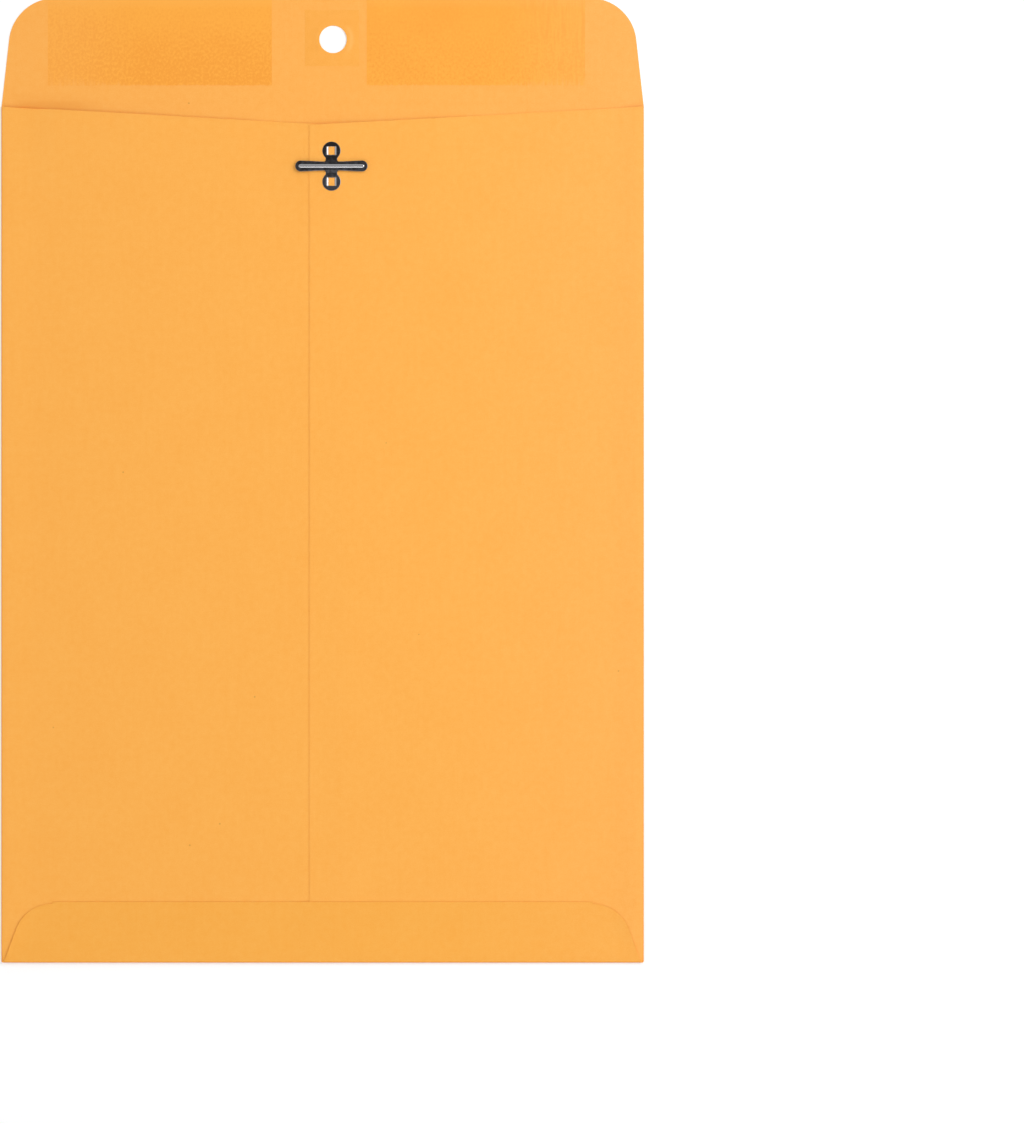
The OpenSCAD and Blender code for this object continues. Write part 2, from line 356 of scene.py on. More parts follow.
class SheetMesh:
    """Closed sheets gathered into the mesh of one piece."""

    FLAT_PLACE = "flat_place"
    # Attribute that carries rubbing, painted shade and painted highlight, from 0 up.
    WEAR_AND_PAINTED_LIGHT = "wear_and_painted_light"
    INSIDE = -0.05

    def __init__(self) -> None:
        """Start with nothing."""
        self.verts: list[Vector] = []
        self.flat: list[tuple[float, float, float]] = []
        self.wear_and_painted_light: list[float] = []
        self.faces: list[tuple[int, ...]] = []
        self.on_rim: list[int] = []

    def add(self, plan: Plan, skins: Skins, inside_up: bool = False) -> "SheetMesh":
        """Add one sheet.

        Args:
            plan: The sheet's flat outline.
            skins: Gives each flat place its upper and lower skin.
            inside_up: Whether the upper skin is the inside of the paper, which is a little paler.

        Returns:
            This mesh.
        """
        sides = (self.INSIDE, 0.0) if inside_up else (0.0, self.INSIDE)
        points = [skins(x, y) for x, y in plan.places]
        upper, count = len(self.verts), len(points)
        lower = upper + count
        self.verts += [p.upper for p in points] + [p.lower for p in points]
        self.flat += [(x, y, side) for side in sides for x, y in plan.places]
        self.wear_and_painted_light += [p.wear_and_painted_light for p in points] * 2
        self.faces += [tuple(upper + i for i in t) for t in plan.triangles.tolist()]
        self.faces += [tuple(lower + i for i in reversed(t)) for t in plan.triangles.tolist()]
        self.on_rim += [0] * (2 * len(plan.triangles)) + [1] * len(plan.rim)
        self.faces += [(upper + b, upper + a, lower + a, lower + b) for a, b in plan.rim]
        return self

    def to_object(
        self, name: str, face: bpy.types.Material, edge: bpy.types.Material, sharp: float = 40.0
    ) -> bpy.types.Object:
        """Make the piece.

        Args:
            name: Name of the piece.
            face: Material of its two skins.
            edge: Material of its cut edges.
            sharp: Angle from which an edge stays sharp, in degrees.

        Returns:
            The new object, linked to the scene.
        """
        mesh = bpy.data.meshes.new(name)
        mesh.from_pydata(self.verts, [], self.faces)
        mesh.materials.append(face)
        mesh.materials.append(edge)
        mesh.polygons.foreach_set("material_index", self.on_rim)
        mesh.polygons.foreach_set("use_smooth", [True] * len(self.faces))
        mesh.set_sharp_from_angle(angle=math.radians(sharp))
        flat = mesh.attributes.new(self.FLAT_PLACE, "FLOAT_VECTOR", "POINT")
        flat.data.foreach_set("vector", np.array(self.flat, np.float32).ravel())
        wear_and_painted_light = mesh.attributes.new(self.WEAR_AND_PAINTED_LIGHT, "FLOAT", "POINT")
        wear_and_painted_light.data.foreach_set("value", np.array(self.wear_and_painted_light, np.float32))
        mesh.update()
        piece = bpy.data.objects.new(name, mesh)
        bpy.context.scene.collection.objects.link(piece)
        return piece


Value = Union["Signal", float, Sequence[float]]


class Signal:
    """An output socket of a node tree, on which arithmetic adds Math nodes."""

    def __init__(self, shader: "Shader", socket: bpy.types.NodeSocket) -> None:
        """Wrap a socket of a shader."""
        self.shader = shader
        self.socket = socket

    def _math(self, operation: str, first: Value, second: Value) -> "Signal":
        """Add a Math node for two values."""
        return self.shader.node("ShaderNodeMath", {"operation": operation}, {0: first, 1: second})

    def __add__(self, other: Value) -> "Signal":
        """Return self + other."""
        return self._math("ADD", self, other)

    def __radd__(self, other: Value) -> "Signal":
        """Return other + self."""
        return self._math("ADD", other, self)

    def __sub__(self, other: Value) -> "Signal":
        """Return self - other."""
        return self._math("SUBTRACT", self, other)

    def __rsub__(self, other: Value) -> "Signal":
        """Return other - self."""
        return self._math("SUBTRACT", other, self)

    def __mul__(self, other: Value) -> "Signal":
        """Return self * other."""
        return self._math("MULTIPLY", self, other)

    def __rmul__(self, other: Value) -> "Signal":
        """Return other * self."""
        return self._math("MULTIPLY", other, self)

    def __gt__(self, other: Value) -> "Signal":
        """Return 1 where self is above other, and 0 elsewhere."""
        return self._math("GREATER_THAN", self, other)

    def rise(self, low: Value, high: Value) -> "Signal":
        """Rise smoothly from 0 at low to 1 at high."""
        sockets = {"Value": self, "From Min": low, "From Max": high}
        return self.shader.node("ShaderNodeMapRange", {"interpolation_type": "SMOOTHSTEP"}, sockets)

    def swing(self, by: Value) -> "Signal":
        """Return how far a noise lies from its mean, times a weight."""
        return (self - NOISE_MEAN) * by


class Grain(NamedTuple):
    """One noise of a finish: scale, octaves and their roughness, stretch, and how strongly it shows."""

    scale: float
    detail: float
    roughness: float = 0.5
    stretch: Optional[Colour] = None
    weight: float = 1.0


class Shader:
    """Builds the node tree of a material or of the world."""

    def __init__(self, owner: Union[bpy.types.Material, bpy.types.World]) -> None:
        """Empty the owner's node tree and start on it.

        Args:
            owner: Material or world that owns the tree.
        """
        owner.use_nodes = True
        self.tree = owner.node_tree
        self.tree.nodes.clear()

    def node(
        self, kind: str, settings: Mapping[str, object], sockets: Mapping[Union[str, int], Value],
        output: Union[str, int] = 0
    ) -> Signal:
        """Add a node.

        Args:
            kind: The node's type.
            settings: The node's own settings, which are set first.
            sockets: Values or links of its sockets, by name or number.
            output: The output that is wanted, by name or number.

        Returns:
            That output.
        """
        node = self.tree.nodes.new(kind)
        for name, setting in settings.items():
            setattr(node, name, setting)
        for name, value in sockets.items():
            if isinstance(value, Signal):
                self.tree.links.new(value.socket, node.inputs[name])
            else:
                node.inputs[name].default_value = value
        return Signal(self, node.outputs[output] if node.outputs else None)

    def place(self) -> Signal:
        """Return a point's place on the flat sheet, which it keeps when the sheet bends."""
        return self.node("ShaderNodeAttribute", {"attribute_name": SheetMesh.FLAT_PLACE}, {}, "Vector")

    def wear_and_painted_light(self) -> Signal:
        """Return the sheet's share of rubbing, painted shade and painted highlight."""
        return self.node("ShaderNodeAttribute", {"attribute_name": SheetMesh.WEAR_AND_PAINTED_LIGHT}, {}, "Fac")

    def stretched(self, place: Signal, by: Sequence[float]) -> Signal:
        """Multiply a place or a colour along each axis."""
        return self.node("ShaderNodeVectorMath", {"operation": "MULTIPLY"}, {0: place, 1: by})

    def noise(self, place: Signal, grain: Grain) -> Signal:
        """Add a noise texture for a grain, at the places that its stretch gives.

        Args:
            place: Place on the flat sheet.
            grain: The grain.

        Returns:
            The noise, with a mean near NOISE_MEAN.
        """
        where = self.stretched(place, grain.stretch) if grain.stretch else place
        return self.node("ShaderNodeTexNoise", {}, {
            "Vector": where, "Scale": grain.scale, "Detail": grain.detail, "Roughness": grain.roughness,
        })

    def varying(self, place: Signal, grain: Grain) -> Signal:
        """Return a grain's swing about 0, as strongly as it shows."""
        return self.noise(place, grain).swing(grain.weight)

    def mix(self, share: Value, first: Value, second: Value) -> Signal:
        """Mix two colours, all of the second where share is 1."""
        rgba = [c if isinstance(c, Signal) else (*c, 1.0) for c in (first, second)]
        return self.node("ShaderNodeMix", {"data_type": "RGBA"}, {0: share, 6: rgba[0], 7: rgba[1]}, 2)

    def axis(self, place: Signal, name: str) -> Signal:
        """Return one axis of a place: X, Y or Z."""
        return self.node("ShaderNodeSeparateXYZ", {}, {0: place}, name)

    def bump(self, height: Signal, depth: float, strength: float) -> Signal:
        """Turn a height from 0 to 1 into a normal, for relief of a depth in metres."""
        return self.node("ShaderNodeBump", {}, {"Strength": strength, "Distance": depth, "Height": height})

    def surface(self, sockets: Mapping[str, Value]) -> None:
        """End a material's tree with its shader."""
        made = self.node("ShaderNodeBsdfPrincipled", {}, sockets)
        self.node("ShaderNodeOutputMaterial", {}, {"Surface": made})


class Finish:
    """What the finishes share: one material for each name."""

    name: str

    def material(self) -> bpy.types.Material:
        """Make the material, or return the one that was made before.

        Returns:
            The material.
        """
        found = bpy.data.materials.get(self.name)
        if found is None:
            found = bpy.data.materials.new(self.name)
            self.shade(Shader(found))
        return found

    def shade(self, shader: Shader) -> None:
        """Fill the material's node tree."""
        raise NotImplementedError


@dataclass(frozen=True)
class Kraft(Finish):
    """Uncoated golden kraft with cloudy fibres, fine grain and a few dark specks."""

    name: str = "golden_kraft"
    pale: Colour = (1.0, 0.472, 0.098)
    deep: Colour = (0.975, 0.418, 0.074)
    inside: Colour = (1.0, 0.99, 1.075)
    # Colour that rubbing, painted shade and painted highlight mix in: a deeper orange for rubbing and
    # painted shade; the patch gives a lighter tint for its painted highlight.
    worn_and_painted_light: Colour = (0.85, 0.315, 0.05)
    worn_and_painted_light_share: float = 0.6
    # Painted sheen: a lighter, bluer tint that grows towards the right edge, where the lamp's glare falls.
    sheen_tint: Colour = (1.0, 1.0, 1.14)
    sheen_from: float = 30.0 * MM
    sheen_to: float = 120.0 * MM
    clouds: tuple[Grain, ...] = (
        Grain(55.0, 3.0, weight=0.5),
        Grain(420.0, 4.0, 0.6, weight=1.25),
        Grain(2300.0, 2.0, weight=1.6),
        Grain(1.0, 2.0, stretch=(900.0, 60.0, 1.0), weight=0.35),
    )
    speck: Colour = (0.62, 0.25, 0.05)
    speck_scale: float = 85.0
    speck_above: float = 0.78
    speck_core: float = 0.018
    speck_edge: float = 0.034
    speck_share: float = 0.55
    fibres: Grain = Grain(1500.0, 3.0, 0.6, (1.0, 0.45, 1.0), 0.12)
    roughness: float = 0.86
    specular: float = 0.12
    relief: float = 0.02 * MM
    relief_strength: float = 0.5

    def cloudiness(self, shader: Shader, place: Signal) -> Signal:
        """Return how the fibres vary the tone, about the mean."""
        return sum((shader.varying(place, grain) for grain in self.clouds), NOISE_MEAN)

    def specks(self, shader: Shader, place: Signal) -> Signal:
        """Return 1 on the few dark specks and 0 elsewhere.

        Args:
            shader: Tree of the material.
            place: Place on the flat sheet.

        Returns:
            The mask.
        """
        cells = {"Vector": place, "Scale": self.speck_scale}
        near = shader.node("ShaderNodeTexVoronoi", {}, cells, "Distance")
        tint = shader.node("ShaderNodeTexVoronoi", {}, cells, "Color")
        chosen = shader.axis(tint, "X") > self.speck_above
        return (1.0 - near.rise(self.speck_core, self.speck_edge)) * chosen

    def tone(self, shader: Shader, place: Signal) -> Signal:
        """Return the paper's colour, on its inside or its outside, lightened towards its right by a painted
        sheen.

        Args:
            shader: Tree of the material.
            place: Place on the flat sheet.

        Returns:
            The colour.
        """
        plain = shader.mix(self.cloudiness(shader, place), self.deep, self.pale)
        inside = shader.axis(place, "Z").rise(0.0, SheetMesh.INSIDE)
        sided = shader.mix(inside, plain, shader.stretched(plain, self.inside))
        # Painted sheen, lighter towards the right edge.
        right = shader.axis(place, "X").rise(self.sheen_from, self.sheen_to)
        toned = shader.mix(right, sided, shader.stretched(sided, self.sheen_tint))
        return shader.mix(self.specks(shader, place) * self.speck_share, toned, self.speck)

    def shade(self, shader: Shader) -> None:
        """Fill the material's node tree.

        Args:
            shader: Tree of the material.
        """
        place = shader.place()
        fibres = shader.noise(place, self.fibres)
        shader.surface({
            # Rubbing, painted shade and painted highlight mix in their colour here.
            "Base Color": shader.mix(shader.wear_and_painted_light() * self.worn_and_painted_light_share, self.tone(shader, place), self.worn_and_painted_light),
            "Roughness": self.roughness + fibres.swing(self.fibres.weight),
            "Specular IOR Level": self.specular,
            "Normal": shader.bump(fibres, self.relief, self.relief_strength),
        })


@dataclass(frozen=True)
class Grained(Finish):
    """A finish of two tones that one grain mixes; the grain's weight is its swing in roughness."""

    name: str
    pale: Colour
    deep: Colour
    grain: Grain
    roughness: float
    relief: float
    relief_strength: float
    specular: float = 0.5
    metallic: float = 0.0
    sharpened: bool = True
    deep_to: float = 0.3
    pale_from: float = 0.7

    def shade(self, shader: Shader) -> None:
        """Fill the material's node tree.

        Args:
            shader: Tree of the material.
        """
        grain = shader.noise(shader.place(), self.grain)
        share = grain.rise(self.deep_to, self.pale_from) if self.sharpened else grain
        swing = self.grain.weight
        shader.surface({
            "Base Color": shader.mix(share, self.deep, self.pale),
            "Metallic": self.metallic,
            "Roughness": self.roughness + grain.swing(swing) if swing else self.roughness,
            "Specular IOR Level": self.specular,
            "Normal": shader.bump(grain, self.relief, self.relief_strength),
        })


@dataclass(frozen=True)
class CutPaper(Grained):
    """The die-cut edge of the kraft, where the fibres stand open."""

    name: str = "cut_kraft_edge"
    pale: Colour = (0.90, 0.43, 0.10)
    deep: Colour = (0.76, 0.33, 0.07)
    grain: Grain = Grain(3000.0, 3.0, 0.6, weight=0.0)
    roughness: float = 0.92
    relief: float = 0.03 * MM
    relief_strength: float = 0.6
    specular: float = 0.1


@dataclass(frozen=True)
class PaperGlue(Grained):
    """Dried paper glue, amber and a little streaky."""

    name: str = "dried_glue"
    pale: Colour = (0.85, 0.70, 0.40)
    deep: Colour = (0.70, 0.54, 0.26)
    grain: Grain = Grain(1.0, 3.0, stretch=(700.0, 40.0, 1.0), weight=0.3)
    roughness: float = 0.45
    relief: float = 0.01 * MM
    relief_strength: float = 0.4
    specular: float = 0.4
    sharpened: bool = False


@dataclass(frozen=True)
class ShearedTin(Grained):
    """Bare steel on the clasp's sheared edges, with the shear's fine lines."""

    name: str = "sheared_tin_edge"
    pale: Colour = (0.62, 0.60, 0.58)
    deep: Colour = (0.30, 0.29, 0.29)
    grain: Grain = Grain(9000.0, 2.0, weight=0.2)
    roughness: float = 0.4
    relief: float = 0.01 * MM
    relief_strength: float = 0.5
    metallic: float = 1.0


class GumTone(NamedTuple):
    """How a strip of gum dried: its mean tone and grain, and how they change upwards and outwards."""

    lightness: float
    contrast: float
    paler_above: float
    paler_top: float
    outer_streaks: float
    outer_pores: float


@dataclass(frozen=True)
class DriedGum(Finish):
    """Remoistenable gum: a leathery film that deepens the kraft and frays at its lower outer corner."""

    name: str
    inner: float
    outer: float
    bottom: float
    top: float
    dried: GumTone
    frayed_share: float = 0.45
    inner_fray: float = 0.7 * MM
    outer_fray: float = 6.0 * MM
    bare_to: float = -0.5
    covered_from: float = 0.6
    outer_thinning: float = 0.35
    top_run: float = 4.0 * MM
    top_thinning: float = 0.3
    smoother_above: float = 0.7
    streaks: Grain = Grain(1.0, 3.0, 0.6, (1000.0, 70.0, 1.0), 3.2)
    broken: Grain = Grain(900.0, 3.0, 0.6, weight=0.8)
    pores: Grain = Grain(1200.0, 3.0, 0.65, (1.0, 0.8, 1.0), 0.2)
    brushed: Grain = Grain(1.0, 3.0, 0.6, (1000.0, 90.0, 1.0))
    broad: Grain = Grain(60.0, 2.0, weight=0.9)
    paper: Kraft = Kraft()
    pale: Colour = (1.0, 0.424, 0.058)
    deep: Colour = (0.945, 0.360, 0.045)
    gloss: float = 0.36
    specular: float = 0.16
    relief: float = 0.03 * MM
    relief_strength: float = 0.5

    def frayed(self, shader: Shader, place: Signal) -> Signal:
        """Return 1 at the outer end and 0 where the strip's lower edge is sharp."""
        sharp_to = self.outer + (self.inner - self.outer) * self.frayed_share
        return shader.axis(place, "X").rise(sharp_to, self.outer)

    def topmost(self, shader: Shader, place: Signal) -> Signal:
        """Return 1 along the flap's free edge, falling off below it."""
        return shader.axis(place, "Y").rise(self.top - self.top_run, self.top)

    def film(self, shader: Shader, place: Signal) -> Signal:
        """Return how much film covers the paper, with brush streaks along its lower edge.

        Args:
            shader: Tree of the material.
            place: Place on the flat sheet.

        Returns:
            A share from 0 to 1.
        """
        frayed = self.frayed(shader, place)
        fray = frayed * (self.outer_fray - self.inner_fray) + self.inner_fray
        ragged = (shader.varying(place, self.streaks) + shader.varying(place, self.broken)) * fray
        above = shader.axis(place, "Y") - self.bottom + ragged
        thinned = frayed * self.outer_thinning + self.topmost(shader, place) * self.top_thinning
        return above.rise(fray * self.bare_to, fray * self.covered_from) * (1.0 - thinned)

    def shade(self, shader: Shader) -> None:
        """Fill the material's node tree.

        Args:
            shader: Tree of the material.
        """
        place, dried = shader.place(), self.dried
        film, frayed = self.film(shader, place), self.frayed(shader, place)
        pores, brushed = shader.noise(place, self.pores), shader.noise(place, self.brushed)
        height = shader.axis(place, "Y").rise(self.bottom, self.top)
        grain = (1.0 - height * self.smoother_above) * (1.0 + frayed * dried.outer_pores) * dried.contrast
        mottle = pores.swing(grain) + brushed.swing(frayed) * dried.outer_streaks
        lighter = dried.lightness + height.swing(dried.paler_above)
        lighter += self.topmost(shader, place) * dried.paler_top
        gum = shader.mix(lighter + mottle + shader.varying(place, self.broad), self.deep, self.pale)
        shader.surface({
            "Base Color": shader.mix(film, self.paper.tone(shader, place), gum),
            "Roughness": self.paper.roughness - film * self.gloss + pores.swing(self.pores.weight),
            "Specular IOR Level": self.specular,
            "Normal": shader.bump(pores, self.relief, self.relief_strength),
        })


@dataclass(frozen=True)
class Tinplate(Finish):
    """Dark rolled tinplate, with painted highlight in a bright metal colour on the rib, the tangs and the
    rolled edges, and painted shade darkening the upper lobe.
    """

    name: str = "dark_tinplate"
    plate: Colour = (0.085, 0.086, 0.096)
    # Random stains, with painted shade: the dark colour deepens upwards, so the upper lobe is darker than
    # the lower one, which shows a lighter reflection.
    stain_and_shade: Colour = (0.035, 0.032, 0.032)
    shade_slope: float = 30.0
    stain_and_shade_to: float = 0.35
    bare_plate_from: float = 0.7
    # Painted highlight: bright metal colour on the rib, the tangs and the rolled edges, which shine in the
    # light; the flats keep the dark plate colour.
    painted_highlight: Colour = (0.71, 0.70, 0.72)
    dull_to: float = 0.2
    smooth_from: float = 0.6
    smoothing: float = 0.9
    smudge: Grain = Grain(600.0, 4.0, 0.6, weight=0.2)
    rolled: Grain = Grain(1.0, 3.0, stretch=(600.0, 9000.0, 1.0), weight=0.1)
    roughness: float = 0.36
    polish: float = 0.18
    relief: float = 0.004 * MM
    relief_strength: float = 0.5

    def shade(self, shader: Shader) -> None:
        """Fill the material's node tree.

        Args:
            shader: Tree of the material.
        """
        place, wear_and_painted_light = shader.place(), shader.wear_and_painted_light()
        smudge, rolled = shader.noise(place, self.smudge), shader.noise(place, self.rolled)
        dull = 1.0 - wear_and_painted_light.rise(self.dull_to, self.smooth_from) * self.smoothing
        uneven = (smudge.swing(self.smudge.weight) + rolled.swing(self.rolled.weight)) * dull
        # Random stains, with painted shade deepening towards the upper lobe.
        bare_plate = (smudge - shader.axis(place, "Y") * self.shade_slope).rise(self.stain_and_shade_to, self.bare_plate_from)
        shader.surface({
            # Painted highlight over the plate with its stains and painted shade.
            "Base Color": shader.mix(wear_and_painted_light, shader.mix(bare_plate, self.stain_and_shade, self.plate), self.painted_highlight),
            "Metallic": 1.0,
            "Roughness": self.roughness - wear_and_painted_light * self.polish + uneven,
            "Normal": shader.bump(rolled * dull, self.relief, self.relief_strength),
        })


@dataclass
class Piece:
    """A finished object and what it stands for in the frame."""

    obj: bpy.types.Object
    slot: Slot
    nodes: tuple[str, ...]
    body: Body = Body.POCKET

    def settle(self) -> "Piece":
        """Put the piece on its body in place of its nodes."""
        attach(self.obj, self.body.value)
        return self.stand_in()

    def settle_across(self, other: Body, start: Vector, end: Vector) -> "Piece":
        """Apply the piece's transform to its mesh and stand it in for its nodes.

        Args:
            other: Not used.
            start: Not used.
            end: Not used.

        Returns:
            This piece.
        """
        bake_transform(self.obj)
        return self.stand_in()

    def stand_in(self) -> "Piece":
        """Hide the nodes that the piece replaces and report it.

        Returns:
            This piece.
        """
        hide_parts(*self.nodes)
        log.info("%s: %d faces, for %s", self.obj.name, len(self.obj.data.polygons), ", ".join(self.nodes))
        return self


@dataclass(frozen=True)
class PocketFrame:
    """Edges and levels of the folded paper at rest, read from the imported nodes."""

    left: float
    right: float
    bottom: float
    top: float
    fold: float
    fold_end: float
    throat: float
    panel_left: float
    panel_right: float
    panel_bottom: float
    inset_left: float
    inset_right: float
    seam: float
    lap: float
    paper: float
    left_top: float
    right_top: float
    bottom_flap_top: float
    bottom_flap_end: float
    clasp: Point
    hole: Point
    hole_r: float

    @classmethod
    def read(cls) -> "PocketFrame":
        """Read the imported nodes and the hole's mount.

        Returns:
            The frame of the pocket.
        """
        front_low, front_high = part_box("front_panel")
        left_low, left_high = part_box("left_side_fold")
        right_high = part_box("right_side_fold")[1]
        left_back_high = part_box("left_back_panel")[1]
        right_back_low, right_back_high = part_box("right_back_panel")
        turn_low, turn_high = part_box("bottom_fold")
        bottom_flap_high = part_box("bottom_flap")[1]
        curl_low, curl_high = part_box("flap_fold")
        clasp_low, clasp_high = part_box("clasp_base")
        hole = next(m for m in frame["record"]["mounts"] if m["name"] == "flap_hole")
        return cls(
            left=left_low.x, right=right_high.x, bottom=turn_low.y, top=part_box("closure_flap")[1].y,
            fold=curl_low.y, fold_end=curl_high.y, throat=left_high.y,
            panel_left=front_low.x, panel_right=front_high.x, panel_bottom=turn_high.y,
            inset_left=turn_low.x, inset_right=turn_high.x,
            seam=right_back_low.x, lap=left_back_high.x, paper=front_high.z - front_low.z,
            left_top=left_back_high.z, right_top=right_back_high.z,
            bottom_flap_top=bottom_flap_high.z, bottom_flap_end=bottom_flap_high.y,
            clasp=((clasp_low.x + clasp_high.x) / 2, (clasp_low.y + clasp_high.y) / 2),
            hole=tuple(hole["pos_m"][:2]), hole_r=hole["dims"]["r_mm"] * MM,
        )


class Bow(NamedTuple):
    """A stretch of the throat that stands open, by distances from the left fold, and its share."""

    start: float
    full: float
    fading: float
    end: float
    share: float

    def along(self, from_left: float) -> float:
        """Return the share of the bow at a distance from the left fold."""
        opening = smoothstep(self.start, self.full, from_left)
        return self.share * opening * smoothstep(self.end, self.fading, from_left)


@dataclass(frozen=True)
class Relief:
    """How the empty pocket's back settles between its folds, and bows up along the throat."""

    pocket: PocketFrame
    sag: float = 0.46 * MM
    sag_run: float = 11.0 * MM
    clasp_flat: float = 9.0 * MM
    clasp_run: float = 26.0 * MM
    bow: float = 0.38 * MM
    bow_depth: float = 45.0 * MM
    bows: tuple[Bow, ...] = (
        Bow(7.0 * MM, 20.0 * MM, 34.0 * MM, 66.0 * MM, 0.64),
        Bow(30.0 * MM, 55.0 * MM, 80.0 * MM, 96.0 * MM, 0.36),
        Bow(88.0 * MM, 98.0 * MM, 106.0 * MM, 112.0 * MM, -0.1),
        Bow(106.0 * MM, 116.0 * MM, 148.0 * MM, 172.0 * MM, 0.42),
    )
    ripple: float = 0.08 * MM
    ripple_x: float = 55.0 * MM
    ripple_y: float = 80.0 * MM

    def loose(self, x: float, y: float) -> float:
        """Return 0 where a fold or the clasp holds the back, and 1 where it is free.

        Args:
            x: Place along X.
            y: Place along Y.

        Returns:
            A share from 0 to 1.
        """
        pocket = self.pocket
        inside = min(x - pocket.panel_left, pocket.panel_right - x, y - pocket.panel_bottom)
        from_clasp = math.dist((x, y), pocket.clasp)
        off_clasp = smoothstep(self.clasp_flat, self.clasp_run, from_clasp)
        return smoothstep(0.0, self.sag_run, inside) * off_clasp

    def lift(self, x: float, y: float) -> float:
        """Return how far the back lies above its flat level.

        Args:
            x: Place across the pocket.
            y: Place along the pocket.

        Returns:
            The height, below zero where the back sags.
        """
        pocket = self.pocket
        from_left = x - pocket.panel_left
        along = min(1.0, sum(bow.along(from_left) for bow in self.bows))
        along *= smoothstep(self.bow_depth, 0.0, pocket.throat - y)
        ripple = noise.noise(Vector((x / self.ripple_x, y / self.ripple_y, 0.0))) * self.ripple
        return self.loose(x, y) * (ripple - self.sag * (1.0 - along)) + self.bow * along


@dataclass(frozen=True)
class Turn:
    """A half turn of paper round one edge of the front panel, from its back down to its front."""

    outward: Outward
    edge: float
    radius: float
    centre_z: float
    # Rubbing and painted shade: the crest, which faces sideways and gets less light, takes the darker
    # colour.
    crest_wear_and_shade: float = 1.65
    crest_from: float = 0.87

    def strip(self) -> float:
        """Return the length of paper in the half turn."""
        return math.pi * self.radius

    def place(self, x: float, y: float, lift: float, thickness: float) -> SheetPoint:
        """Bend a flat place of the back round the turn.

        Args:
            x: Flat place along X, which runs on past the edge into the turn.
            y: Flat place along Y.
            lift: Height of the back above its level there.
            thickness: Thickness of the sheet.

        Returns:
            The place's two skins, darkened at the crest of the turn by rubbing and painted shade.
        """
        out = Vector((*self.outward.value, 0.0))
        up = Vector((0.0, 0.0, 1.0))
        beyond = x * out.x + y * out.y - self.edge
        angle = min(max(beyond, 0.0) / self.radius, math.pi)
        normal = out * math.sin(angle) + up * math.cos(angle)
        axis = Vector((x, y, self.centre_z)) - out * max(beyond, 0.0)
        middle = axis + normal * self.radius + up * (lift if beyond <= 0.0 else 0.0)
        half = normal * (thickness / 2)
        # Rubbing and painted shade round the crest.
        wear_and_painted_light = self.crest_wear_and_shade * smoothstep(0.0, self.crest_from, math.sin(angle))
        return SheetPoint(middle + half, middle - half, wear_and_painted_light)


